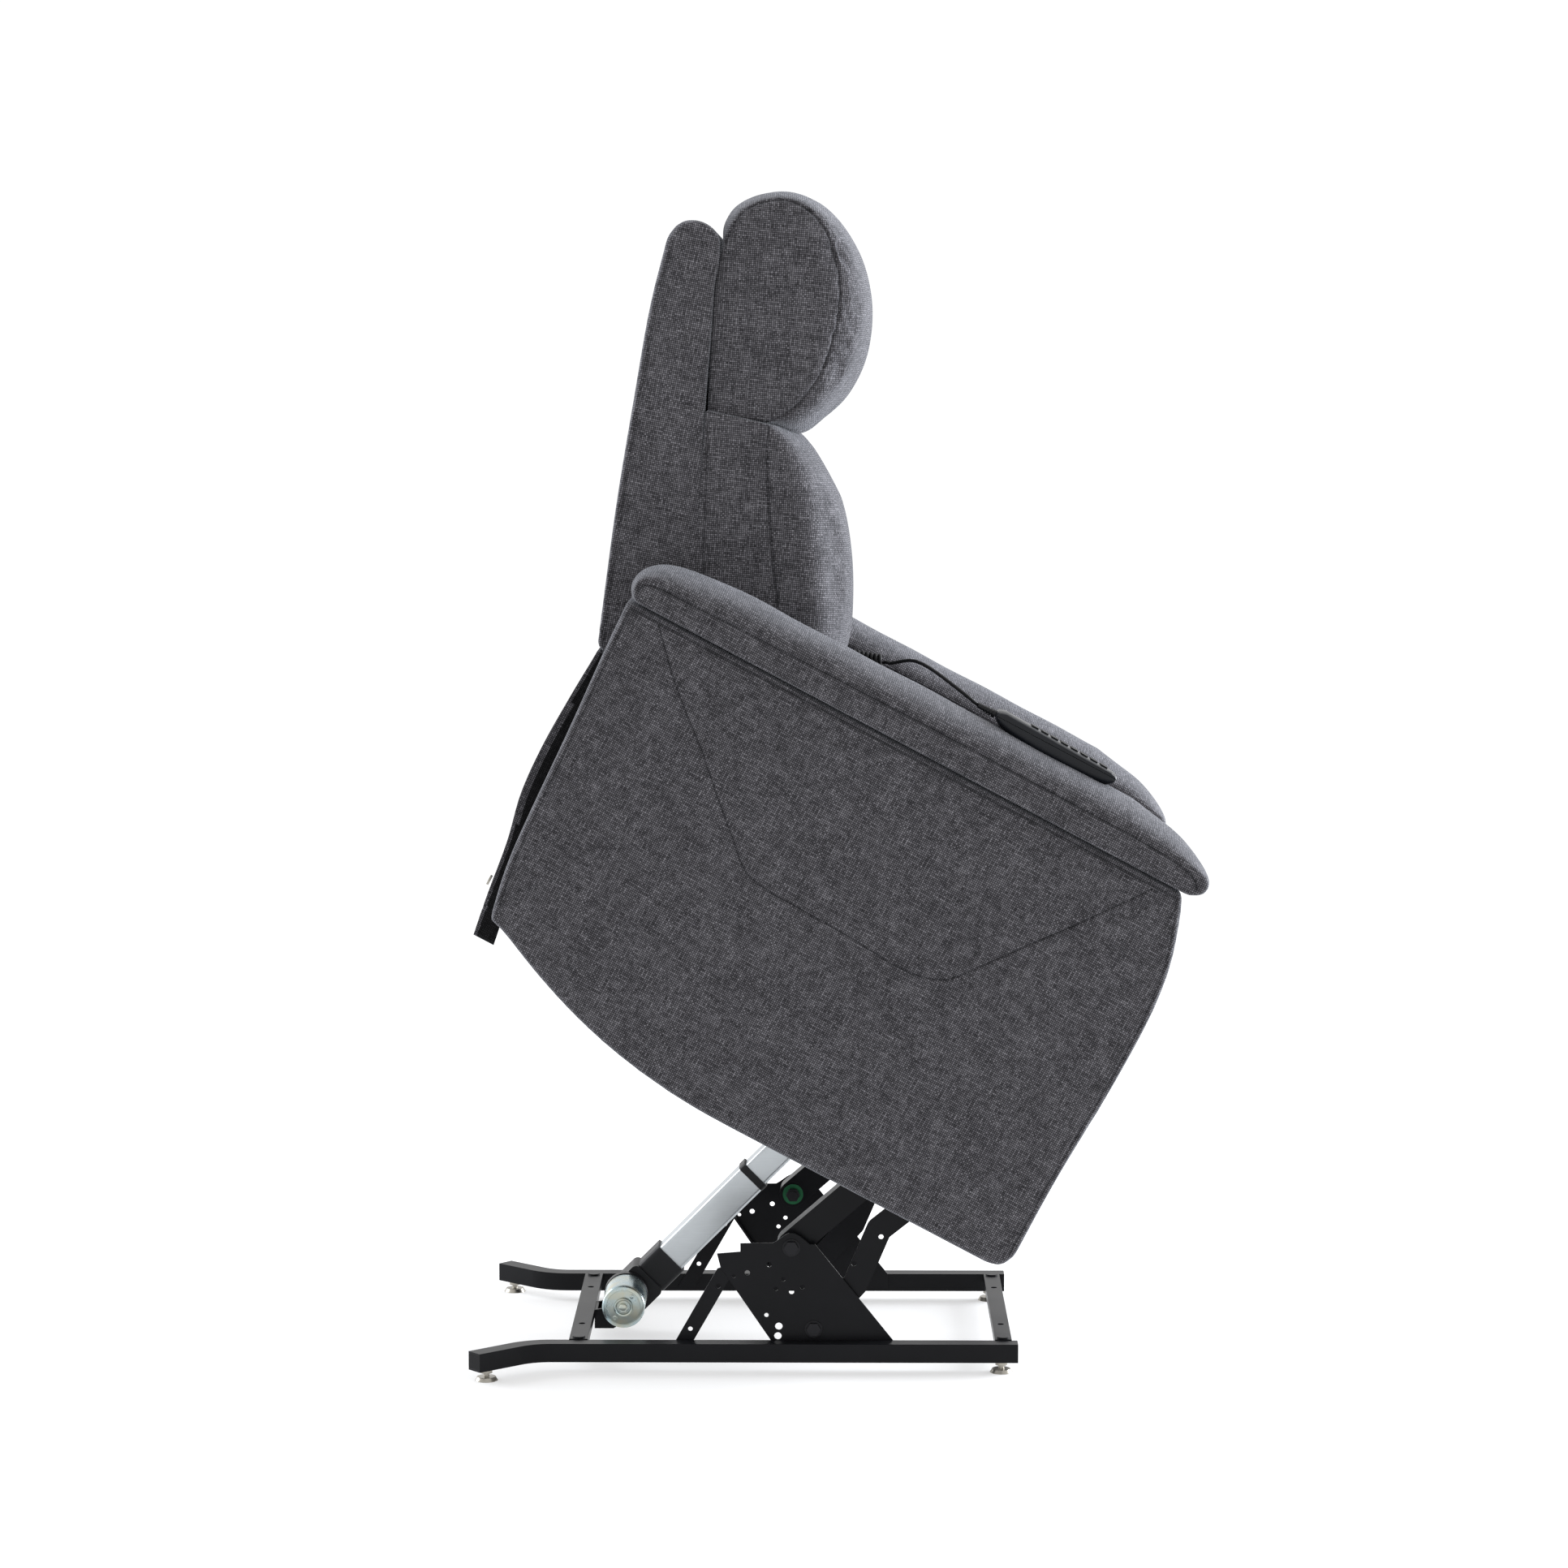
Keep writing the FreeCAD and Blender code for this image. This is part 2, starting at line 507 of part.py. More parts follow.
def make_seat_frame():
    """Front, rear and side bars that the seat springs are hung on."""
    bars = [box((-75.0, -50.0), (-205.0, 205.0), (324.0, 348.0)),
            box((-580.0, -555.0), (-190.0, 190.0), (324.0, 348.0)),
            box((-555.0, -75.0), (190.0, 211.8), (324.0, 348.0)),
            box((-555.0, -75.0), (-211.8, -190.0), (324.0, 348.0))]
    add("seat_frame", *bars, chair=True)


def make_seat_springs():
    """Five sinuous wire springs, each a row of flat loops from the rear bar to the front bar."""
    springs = []
    loop_half, wire, level, count = 18.0, 3.4, 350.1, 20
    rear, front = -572.0, -62.0
    step = (front - rear) / count
    for row in range(5):
        middle = (row - 2) * 80.0
        points = [(rear, middle, level)]
        for i in range(count):
            side = loop_half if i % 2 else -loop_half
            u = rear + step * i
            points += [(u + 0.12 * step, middle + side, level), (u + 0.88 * step, middle + side, level)]
        points.append((front, middle, level))
        springs.append(tube_along(points, wire, "seat spring"))
    add("seat_springs", *springs, chair=True)


def make_seat_cushion():
    rear, front, low, top = -598.0, -32.0, 352.3, SEAT_TOP
    nose = [(front, 418.0), (-37.0, 446.0), (-62.0, top)]
    runs = [[(rear, low), (front, low)], [(front, low), nose[0]], nose, [nose[-1], (rear, top)],
            [(rear, top), (rear, low)]]
    add("seat_cushion", slab(runs, -SEAT_HALF, SEAT_HALF), chair=True)


def make_electrics():
    """The control box on the rear cross tube, and the mains inlet in its lower face."""
    case = rounded_box((-560.0, -430.0), (-42.0, 42.0), (226.0, 268.0), 6.0, "x")
    inlet = rounded_box((-545.0, -517.0), (-12.0, 12.0), (208.0, 226.0), 3.0, "z")
    slot = box((-541.0, -521.0), (-8.0, 8.0), (207.0, 222.0))
    add("control_box", case, inlet.cut(slot), chair=True)


# ---- arms ---------------------------------------------------------------------------------------
PANEL_FRONT = [(2.0, 20.0), (2.0, 128.0), (8.0, 281.0), (7.0, 382.0), (-2.0, 449.0), (-21.0, 510.0),
               (-34.0, 538.0)]
PANEL_REAR = [(-835.0, 538.0), (-832.0, 467.0), (-825.0, 353.0), (-816.0, 181.0), (-801.0, 90.0)]
PANEL_BELOW = [(-801.0, 90.0), (-777.0, 83.0), (-716.0, 56.0), (-657.0, 34.0), (-602.0, 18.0), (-549.0, 7.0),
               (-499.0, 0.0), (-449.0, -4.0), (-400.0, -5.0)]


def panel_runs():
    """The outline of an arm panel seen from the side."""
    corner = [(-24.0, -5.0), (-7.0, 2.0), (2.0, 20.0)]
    return [PANEL_FRONT, [PANEL_FRONT[-1], PANEL_REAR[0]], PANEL_REAR, PANEL_BELOW,
            [PANEL_BELOW[-1], corner[0]], corner]


def make_arms():
    """Upholstered arm boxes: an outer tub, an inner lining, a timber frame and a padded top."""
    lining_back = ARM[0] + ARM_SHEET + 1.0
    cavity = slab(inset(panel_runs(), ARM_SHEET), ARM[0] - 1.0, ARM[1] - ARM_SHEET)
    tub = slab(panel_runs(), *ARM).cut(cavity)
    add("arm_panel_left", tub, chair=True)
    add("arm_panel_right", mirrored(tub), chair=True)
    lining = slab(inset(panel_runs(), ARM_SHEET + 0.5), ARM[0], ARM[0] + ARM_SHEET)
    add("arm_inner_panels", *pair(lining), chair=True)

    y0, y1 = lining_back + 2.0, lining_back + 27.0
    bars = [box((-800.0, -60.0), (y0, y1), (500.0, 530.0)),
            box((-700.0, -30.0), (y0, y1), (60.0, 100.0)),
            box((-60.0, -30.0), (y0, y1), (100.0, 500.0)),
            box((-800.0, -760.0), (y0, y1), (110.0, 500.0)),
            box((-760.0, -60.0), (y0, y1), (290.0, 320.0))]
    add("arm_frames", *pair(*bars), chair=True)

    low = 538.6
    nose = [(-140.0, ARM_PAD_TOP), (-104.0, 604.0), (-69.0, 598.0), (-28.0, 582.0), (-8.0, 568.0),
            (-4.0, 556.0), (-12.0, low)]
    tail = [(-836.0, low), (-843.0, 557.0), (-835.0, 578.0), (-804.0, 598.0), (-728.0, 609.0),
            (-609.0, ARM_PAD_TOP)]
    pad = slab([[nose[-1], tail[0]], tail, [tail[-1], nose[0]], nose], *ARM_PAD)
    add("arm_pad_left", pad, chair=True)
    add("arm_pad_right", mirrored(pad), chair=True)


def make_rear_flap():
    """The fabric curtain behind the seat, and the snap buttons near its foot."""
    outside = [(-843.0, 448.0), (-846.0, 376.0), (-847.0, 302.0), (-843.0, 233.0), (-829.0, 168.0),
               (-819.0, 89.0), (-812.0, 38.0)]
    thick = 7.0
    inside = [(u + thick, w) for u, w in reversed(outside)]
    flap = slab([outside, [outside[-1], inside[0]], inside, [inside[-1], outside[0]]], -268.0, 268.0)
    add("rear_flap", flap, chair=True)
    button = Part.makeCylinder(7.0, 3.0, Vector(-824.5, 255.0, 113.0), Vector(-1, 0, 0))
    add("flap_snaps", *pair(button), chair=True)


# ---- handset ------------------------------------------------------------------------------------
def make_handset():
    """A hand control lying on the right arm pad: two shells, eight keys and a ribbed strain relief."""
    u0, u1 = HANDSET_U
    low = ARM_PAD_TOP + 0.4
    split = low + 12.0
    y0, y1 = HANDSET_Y - HANDSET_WIDTH / 2, HANDSET_Y + HANDSET_WIDTH / 2
    under = [[(u0, split), (u0 + 3.0, low + 4.0), (u0 + 16.0, low)], [(u0 + 16.0, low), (u1 - 12.0, low)],
             [(u1 - 12.0, low), (u1 - 2.0, low + 4.0), (u1, split)], [(u1, split), (u0, split)]]
    top_tail, top_nose = low + 22.5, low + 18.0
    over = [[(u0, split), (u1, split)], [(u1, split), (u1 - 2.0, top_nose - 2.0), (u1 - 8.0, top_nose)],
            [(u1 - 8.0, top_nose), (u0 + 10.0, top_tail)],
            [(u0 + 10.0, top_tail), (u0 + 2.0, top_tail - 4.0), (u0, split)]]
    lower, upper = slab(under, y0, y1), slab(over, y0, y1)

    slope = (top_nose - top_tail) / (u1 - u0 - 18.0)
    tilt = -math.degrees(math.atan(slope))
    deep = 5.0
    for i in range(KEY_COUNT):
        u = FIRST_KEY_U + i * KEY_PITCH
        surface = top_tail + slope * (u - u0 - 10.0)
        lay = Placement(Vector(u, HANDSET_Y, surface), Rotation(Vector(0, 1, 0), tilt))
        key = rounded_box((-KEY_SIZE[0] / 2, KEY_SIZE[0] / 2), (-KEY_SIZE[1] / 2, KEY_SIZE[1] / 2),
                          (-deep + 1.6, 1.6), 2.0, "z")
        well = rounded_box((-KEY_SIZE[0] / 2 - 0.3, KEY_SIZE[0] / 2 + 0.3),
                           (-KEY_SIZE[1] / 2 - 0.3, KEY_SIZE[1] / 2 + 0.3), (-deep, 3.0), 2.3, "z")
        key.Placement = lay
        well.Placement = lay
        upper = upper.cut(well)
        add("key_%d" % (i + 1), key, chair=True)
    add("handset_lower_case", lower, chair=True)
    add("handset_upper_case", upper, chair=True)

    centre = CORD_UPPER[0][2]
    end = CORD_UPPER[0][0]
    relief = Part.makeCone(5.6, 3.6, u0 - end, Vector(u0, HANDSET_Y, centre), Vector(-1, 0, 0))
    for i in range(5):
        at = u0 - 4.0 - 4.0 * i
        groove = ring((0, 0), 0, 1.6, 9.0, 3.4)
        groove.Placement = Placement(Vector(at, HANDSET_Y, centre), Rotation(Vector(0, 0, 1), 90))
        relief = relief.cut(groove)
    add("handset_strain_relief", relief, chair=True)


def make_cord():
    """The handset's cord: plain at both ends, with a curly stretch between."""
    add("cord_upper", tube_along(CORD_UPPER, CORD_D, "cord upper"), chair=True)
    add("cord_curl", tube_along(CORD_CURL, CURL_D, "cord curl"), chair=True)
    add("cord_lower", tube_along(CORD_LOWER, CORD_D, "cord lower"), chair=True)
    u, y, w = CORD_LOWER[-1]
    collar = Part.makeCylinder(5.5, 12.0, Vector(u, y, w - 12.0))
    foot = Part.makeCylinder(10.0, 8.0, Vector(u, -ARM[0], w - 6.0), Vector(0, 1, 0))
    add("cord_gland", fuse(collar, foot), chair=True)


# ---- backrest and head pillow -------------------------------------------------------------------
SHELL_REAR = [(-843.0, 450.0), (-873.0, 530.0), (-913.0, 640.0), (-953.0, 761.0), (-989.0, 873.0),
              (-1012.0, 967.0)]
SHELL_TOP = [(-1012.0, 967.0), (-1007.0, 987.0), (-996.0, 999.0), (-975.0, 1005.0), (-954.0, 998.0)]
SHELL_FRONT = [(-929.0, 940.0), (-899.0, 873.0), (-857.0, 777.0), (-774.0, 606.0), (-745.0, 535.0),
               (-735.0, 450.0)]


def shell_runs():
    return [SHELL_REAR, SHELL_TOP, [SHELL_TOP[-1], SHELL_FRONT[0]], SHELL_FRONT,
            [SHELL_FRONT[-1], SHELL_REAR[0]]]


def make_back_shell():
    """The upholstered back, hollow round its frame and open below."""
    shell = slab(shell_runs(), -BACK_HALF, BACK_HALF)
    wall = 9.0
    rear = [(u + wall, w) for u, w in SHELL_REAR]
    front = [(u - wall, w) for u, w in SHELL_FRONT]
    below = [(front[-1][0], 440.0), (rear[0][0], 440.0)]
    cavity = slab([rear, [rear[-1], front[0]], front, [front[-1], below[0]], below, [below[1], rear[0]]],
                  wall - BACK_HALF, BACK_HALF - wall)
    add("back_shell", shell.cut(cavity), chair=True)


def make_back_frame():
    """Uprights and cross tubes on the hinge tube, with the lever that the back actuator pulls."""
    y0, y1 = 219.0, 224.0
    bracket_edge = [(-640.0, 382.0), (-775.0, 392.0), (-812.0, 432.0), (-806.0, 505.0), (-776.0, 505.0),
                    (-766.0, 436.0), (-640.0, 418.0)]
    bracket = fuse(polygon(bracket_edge, y0, y1), pin(BACK_HINGE, y0, y1, 18.0))
    foot, head = Vector(-793.0, 235.5, 480.0), Vector(-958.0, 235.5, 930.0)
    upright = Part.makeCylinder(12.5, (head - foot).Length, foot, head - foot)
    sides = [fuse(bracket, upright), mirrored(fuse(bracket, upright))]
    cross = []
    for share in (0.12, 0.45, 0.9):
        middle = foot + (head - foot) * share
        cross.append(pin((middle.x, middle.z), -228.0, 228.0, 9.0))
    hinge_tube = pin(BACK_HINGE, -y0 - 1.0, y0 + 1.0, 12.0)
    lever = capsule(BACK_HINGE, BACK_LEVER_END, 14.0, BACK_ACTUATOR_Y - 3.0, BACK_ACTUATOR_Y + 3.0)
    lever = lever.cut(pin(BACK_LEVER_END, 0, 200, 9.6))
    add("back_frame", fuse(sides[0], *cross, hinge_tube, lever, sides[1]), chair=True)


def make_back_cushion():
    """A body as wide as the back, with a fuller middle that stands forward between the arms."""
    rear = [(-855.5, 777.0), (-773.0, 606.5), (-743.5, 535.0), (-733.5, 462.0)]
    wing = [(-641.0, 462.0), (-643.0, 540.0), (-660.0, 607.0), (-716.0, 697.0), (-770.0, 774.0),
            (-795.0, 792.0)]
    wings = slab([[rear[-1], wing[0]], wing, [wing[-1], rear[0]], rear], -BACK_HALF, BACK_HALF)
    bulge = [(-795.0, 790.0), (-745.0, 788.0), (-690.0, 774.0), (-640.0, 738.0), (-605.0, 702.0),
             (-572.0, 650.0), (-548.0, 596.0), (-540.0, 530.0), (-545.0, 462.0)]
    low, back = (-733.0, 462.0), (-795.0, 640.0)
    middle = slab([bulge, [bulge[-1], low], [low, back], [back, bulge[0]]], -222.0, 222.0)
    shell = slab(shell_runs(), -300.0, 300.0)
    shell.translate(Vector(0.6, 0, 0))
    add("back_cushion", fuse(wings, middle).cut(shell), chair=True)


def make_headrest():
    """The head pillow, hinged on two ears that stand out of the back shell."""
    front = [(-950.0, 999.0), (-952.0, 1034.0), (-940.0, 1065.0), (-914.0, 1091.0), (-882.0, 1102.0),
             (-850.0, 1106.0), (-807.0, 1093.0), (-762.0, 1056.0), (-734.0, 1016.0), (-712.0, 961.0),
             (-705.0, 903.0), (-716.0, 855.0), (-737.0, 826.0), (-764.0, 817.0)]
    notch, heel = (-790.0, 812.0), (-853.0, 794.0)
    runs = [front, [front[-1], notch], [notch, heel], [heel, front[0]]]
    pillow = slab(runs, -PILLOW_HALF, PILLOW_HALF)
    arms, pins = [], []
    ear = [(-861.0, 788.0), (-868.0, 801.0), (-804.0, 815.0), (-796.0, 797.0)]
    for y in (-110.0, 110.0):
        pillow = pillow.cut(box((-880.0, -782.0), (y - 10.0, y + 10.0), (780.0, 824.0)))
        arm = fuse(polygon(ear, y - 4.0, y + 4.0), pin(HEAD_HINGE, y - 4.0, y + 4.0, 10.0))
        arms.append(arm.cut(pin(HEAD_HINGE, y - 5.0, y + 5.0, 4.0 + FIT)))
        pins.append(pin(HEAD_HINGE, y - 10.0, y + 10.0, 4.0))
    add("headrest_bracket", *arms, chair=True)
    add("headrest_pins", *pins, chair=True)
    add("head_pillow", pillow, chair=True)


# ---- leg rest -----------------------------------------------------------------------------------
def make_leg_links():
    y0, y1 = LOWER_LEG_LINK
    lower = capsule(LEG_HINGE, LEG_KNEE, LEG_LINK_HALF, y0, y1)
    knee_pin = fuse(pin(LEG_KNEE, y1, UPPER_LEG_LINK[1] + 1.0, 5.0),
                    hexagon(LEG_KNEE, y1, UPPER_LEG_LINK[0] - 0.3, 9.0))
    drive_tube = pin(LEG_HINGE, -y0, y0, 12.0)
    lever = capsule(LEG_HINGE, LEG_LEVER_END, 16.0, LEG_ACTUATOR_Y - 3.0, LEG_ACTUATOR_Y + 3.0)
    lever = lever.cut(pin(LEG_LEVER_END, -200, 0, 11.8))
    sides = pair(fuse(lower, knee_pin))
    add("leg_lower_links", fuse(sides[0], drive_tube, lever, sides[1]), chair=True)

    y0, y1 = UPPER_LEG_LINK
    upper = capsule(LEG_KNEE, BOARD_HINGE, LEG_LINK_HALF, y0, y1)
    upper = upper.cut(pin(LEG_KNEE, y0 - 1, y1 + 1, 5.0 + FIT))
    board_pin = pin(BOARD_HINGE, y1, BOARD_BRACKET[1] + 1.0, 5.0)
    add("leg_upper_links", *pair(fuse(upper, board_pin)), chair=True)


def make_legrest():
    y0, y1 = BOARD_BRACKET
    board = box((-24.0, -9.0), (-250.0, 250.0), (80.0, 440.0))
    u, w = BOARD_HINGE
    bracket = fuse(polygon([(-24.0, 296.0), (-24.0, 349.0), (u, w + 12.0), (u, w - 12.0)], y0, y1),
                   pin(BOARD_HINGE, y0, y1, 12.0)).cut(pin(BOARD_HINGE, y0 - 1, y1 + 1, 5.0 + FIT))
    add("legrest_board", fuse(board, *pair(bracket)), chair=True)
    front = [(2.0, 62.0), (5.0, 200.0), (7.0, 270.0), (19.0, 306.0), (26.0, 345.0), (25.0, 390.0),
             (20.0, 425.0), (7.0, 452.0), (-9.0, 461.0)]
    back = [front[-1], (-24.0, 461.0), (-24.0, 440.2), (-8.8, 440.2), (-8.8, 62.0), front[0]]
    pad = slab([front] + [[a, b] for a, b in zip(back, back[1:])], -258.0, 258.0)
    add("legrest_pad", pad, chair=True)


# ---- whole chair --------------------------------------------------------------------------------
make_rails()
make_crossbars()
make_feet()
make_lift_plates()
make_rear_braces()
make_actuator_bracket()
make_lift_pivots()
make_rear_lift_links()
make_front_lift_links()
make_lift_actuator()
make_hidden_actuator("back_actuator", BACK_ACTUATOR_FOOT, BACK_LEVER_END, BACK_ACTUATOR_Y, 1, 4.0)
make_hidden_actuator("leg_actuator", LEG_ACTUATOR_FOOT, LEG_LEVER_END, LEG_ACTUATOR_Y, -1, 4.0)
make_chassis_plates()
make_cross_tubes()
make_seat_frame()
make_seat_springs()
make_seat_cushion()
make_electrics()
make_arms()
make_rear_flap()
make_handset()
make_cord()
make_back_shell()
make_back_frame()
make_back_cushion()
make_headrest()
make_leg_links()
make_legrest()

os.makedirs("parts", exist_ok=True)
for node, shape in NODES.items():
    shape.exportStep(os.path.join("parts", node + ".step"))
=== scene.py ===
import math

import bmesh
import bpy
import numpy as np
from mathutils import Matrix, Vector
from mathutils.bvhtree import BVHTree
from mathutils.kdtree import KDTree


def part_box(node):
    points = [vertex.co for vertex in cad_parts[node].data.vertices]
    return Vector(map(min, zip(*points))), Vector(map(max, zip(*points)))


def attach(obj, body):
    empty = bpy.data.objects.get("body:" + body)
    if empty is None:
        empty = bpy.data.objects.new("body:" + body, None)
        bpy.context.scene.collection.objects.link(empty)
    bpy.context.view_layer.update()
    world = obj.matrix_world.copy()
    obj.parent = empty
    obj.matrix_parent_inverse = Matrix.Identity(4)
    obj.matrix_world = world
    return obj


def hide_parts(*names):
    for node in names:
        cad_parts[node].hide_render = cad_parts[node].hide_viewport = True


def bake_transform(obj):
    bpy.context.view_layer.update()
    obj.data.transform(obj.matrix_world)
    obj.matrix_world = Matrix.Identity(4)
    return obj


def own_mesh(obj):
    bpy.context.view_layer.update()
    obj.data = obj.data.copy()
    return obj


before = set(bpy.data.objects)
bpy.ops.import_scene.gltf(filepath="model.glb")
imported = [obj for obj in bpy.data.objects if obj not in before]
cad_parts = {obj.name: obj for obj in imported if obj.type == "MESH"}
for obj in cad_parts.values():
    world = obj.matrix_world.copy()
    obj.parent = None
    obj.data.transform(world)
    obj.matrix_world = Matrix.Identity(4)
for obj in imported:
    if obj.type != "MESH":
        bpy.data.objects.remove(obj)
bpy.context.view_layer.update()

# The chair is drawn upright in its own frame, in millimetres: u forwards, y to the sitter's left and
# w up. CHAIR tilts it forward onto the lift links and turns millimetres into metres.
MM = 0.001
TILT = math.radians(28.0)
CORNER = Vector((0.22372, 0.0, 0.1819))
CHAIR = Matrix.Translation(CORNER) @ Matrix.Rotation(TILT, 4, "Y") @ Matrix.Scale(MM, 4)

ARM_INNER, ARM_OUTER = 270.0, 410.0
PAD_INNER, PAD_OUTER = 263.0, 418.0
PAD_LOW, PAD_SEAM, PAD_TOP = 538.8, 570.0, 611.0
PAD_MIDDLE = -423.5
SEAT_TOP = 459.0


# ---- camera -------------------------------------------------------------------------------------
CAMERA_SENSOR, CAMERA_LENS = 36.0, 96.7
CAMERA_PLACE = (-0.0184, -5.754, 1.371)
CAMERA_TURN = (math.radians(84.038), 0.0, math.radians(0.483))


def make_camera():
    data = bpy.data.cameras.new("camera")
    data.sensor_width = CAMERA_SENSOR
    data.lens = CAMERA_LENS
    camera = bpy.data.objects.new("camera", data)
    bpy.context.scene.collection.objects.link(camera)
    camera.location = CAMERA_PLACE
    camera.rotation_euler = CAMERA_TURN
    bpy.context.scene.camera = camera


# ---- the handset's cord -------------------------------------------------------------------------
CORD_D = 4.6
CURL_D = 20.0                      # outside diameter of the curl
CURL_PITCH = 5.6
CURL_STEPS = 14                    # points in each turn
CURL_LEAD = 18.0                   # length over which the curl opens out of the straight cord
SHORTEST_STEP = 1e-5               # points of the cord closer than this are one point, in metres
CORD_UPPER = [(-374, -338, 623.5), (-398, -334, 628), (-424, -322, 632), (-450, -302, 635),
              (-470, -277, 633), (-481, -257, 624.5), (-494, -248, 613)]
CORD_CURL = [(-494, -248, 613), (-551, -247, 596), (-602, -248, 571), (-628, -249, 527),
             (-621, -250, 492)]
CORD_LOWER = [(-621, -250, 492), (-617, -252, 478), (-613, -257, 466), (-611, -258, 452)]


def points_along(name, points, steps=6):
    """Points read from the smooth line of a NURBS spline with these control points, in metres."""
    data = bpy.data.curves.new(name, "CURVE")
    data.dimensions = "3D"
    spline = data.splines.new("NURBS")
    spline.points.add(len(points) - 1)
    for place, point in zip(spline.points, points):
        place.co = (*point, 1.0)
    spline.order_u = 3
    spline.use_endpoint_u = True
    spline.resolution_u = steps
    guide = bpy.data.objects.new(name, data)
    bpy.context.scene.collection.objects.link(guide)
    bpy.context.view_layer.update()
    mesh = bpy.data.meshes.new_from_object(guide)
    found = [v.co.copy() for v in mesh.vertices]
    bpy.data.objects.remove(guide)
    bpy.data.meshes.remove(mesh)
    return found


def helix_points(axis, radius, pitch, steps, lead):
    """Turns of that radius wound round a smooth line. The curl opens over its first length lead and
    closes over its last, so that the cord never bends sharply."""
    lengths = [0.0]
    for a, b in zip(axis, axis[1:]):
        lengths.append(lengths[-1] + (b - a).length)
    count = int(lengths[-1] / pitch * steps)
    side = Vector((0, 1, 0))
    found = []
    turn = 0.0
    j = 0
    for i in range(count + 1):
        at = lengths[-1] * i / count
        while j < len(axis) - 2 and lengths[j + 1] < at:
            j += 1
        ahead = (axis[j + 1] - axis[j]).normalized()
        centre = axis[j] + ahead * (at - lengths[j])
        side = (side - ahead * side.dot(ahead)).normalized()
        up = ahead.cross(side)
        share = min(1.0, at / lead, (lengths[-1] - at) / lead)
        grow = share * share * (3 - 2 * share)
        turn += 2 * math.pi / steps * grow ** 3
        found.append(centre + (side * math.cos(turn) + up * math.sin(turn)) * radius * grow)
    return found


def tube(name, path, radius, sides=12):
    """A closed mesh tube along a path."""
    mesh = bmesh.new()
    side = Vector((0, 1, 0))
    rings = []
    for i, point in enumerate(path):
        ahead = (path[min(i + 1, len(path) - 1)] - path[max(i - 1, 0)]).normalized()
        side = (side - ahead * side.dot(ahead)).normalized()
        up = ahead.cross(side)
        turns = [2 * math.pi * k / sides for k in range(sides)]
        rings.append([mesh.verts.new(point + (side * math.cos(t) + up * math.sin(t)) * radius)
                      for t in turns])
    for a, b in zip(rings, rings[1:]):
        for i in range(sides):
            mesh.faces.new((a[i], b[i], b[(i + 1) % sides], a[(i + 1) % sides]))
    mesh.faces.new(rings[0])
    mesh.faces.new(rings[-1][::-1])
    bmesh.ops.recalc_face_normals(mesh, faces=mesh.faces)
    return as_piece(name, mesh)


def make_cord():
    upper = [CHAIR @ Vector(p) for p in CORD_UPPER]
    curl = [CHAIR @ Vector(p) for p in CORD_CURL]
    lower = [CHAIR @ Vector(p) for p in CORD_LOWER]
    axis = points_along("curl_axis", curl)
    turns = helix_points(axis, (CURL_D - CORD_D) / 2 * MM, CURL_PITCH * MM, CURL_STEPS, CURL_LEAD * MM)
    line = points_along("cord_line", upper[:-1] + turns + lower[1:], 2)
    path = [line[0]] + [b for a, b in zip(line, line[1:]) if (b - a).length > SHORTEST_STEP]
    cord = tube("handset_cord", path, CORD_D / 2 * MM)
    smooth_with(cord, cord_rubber)
    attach(cord, "chassis")
    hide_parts("cord_upper", "cord_curl", "cord_lower")


# ---- shapes -------------------------------------------------------------------------------------
CURVE_STEPS = 16                   # steps between two drawn points of a smooth run


def smooth_run(points, count):
    """count + 1 points along a run: straight if it has two points, otherwise a smooth curve."""
    p = np.array(points, float)
    if len(p) > 2:
        ends = np.vstack([2 * p[0] - p[1], p, 2 * p[-1] - p[-2]])
        fine = []
        for i in range(1, len(ends) - 2):
            a, b, c, d = ends[i - 1:i + 3]
            for t in np.linspace(0, 1, CURVE_STEPS, endpoint=False):
                fine.append(0.5 * (2 * b + (c - a) * t + (2 * a - 5 * b + 4 * c - d) * t ** 2
                                   + (3 * b - a - 3 * c + d) * t ** 3))
        p = np.array(fine + [ends[-2]])
    step = np.linalg.norm(np.diff(p, axis=0), axis=1)
    along = np.concatenate([[0], np.cumsum(step)])
    wanted = np.linspace(0, along[-1], count + 1)
    return np.column_stack([np.interp(wanted, along, p[:, k]) for k in range(p.shape[1])])


def trace(runs, count=24):
    """The closed outline of several runs, count points along each."""
    return np.vstack([smooth_run(run, count)[:-1] for run in runs])


def lofted(name, sections):
    """A closed solid through outlines in planes of constant y, given as (y, points in u and w)."""
    mesh = bmesh.new()
    rings = [[mesh.verts.new((u, y, w)) for u, w in outline] for y, outline in sections]
    count = len(rings[0])
    for a, b in zip(rings, rings[1:]):
        for i in range(count):
            j = (i + 1) % count
            mesh.faces.new((a[i], a[j], b[j], b[i]))
    mesh.faces.new(rings[0][::-1])
    mesh.faces.new(rings[-1])
    bmesh.ops.recalc_face_normals(mesh, faces=mesh.faces)
    return as_piece(name, mesh)


def as_piece(name, mesh):
    """Makes an object of a bmesh, and frees the bmesh."""
    data = bpy.data.meshes.new(name)
    mesh.to_mesh(data)
    mesh.free()
    piece = bpy.data.objects.new(name, data)
    bpy.context.scene.collection.objects.link(piece)
    return piece


def use_modifiers(piece):
    """Applies every modifier of a piece to its mesh."""
    bpy.context.view_layer.update()
    graph = bpy.context.evaluated_depsgraph_get()
    made = bpy.data.meshes.new_from_object(piece.evaluated_get(graph))
    piece.modifiers.clear()
    old = piece.data
    piece.data = made
    bpy.data.meshes.remove(old)
    made.name = piece.name


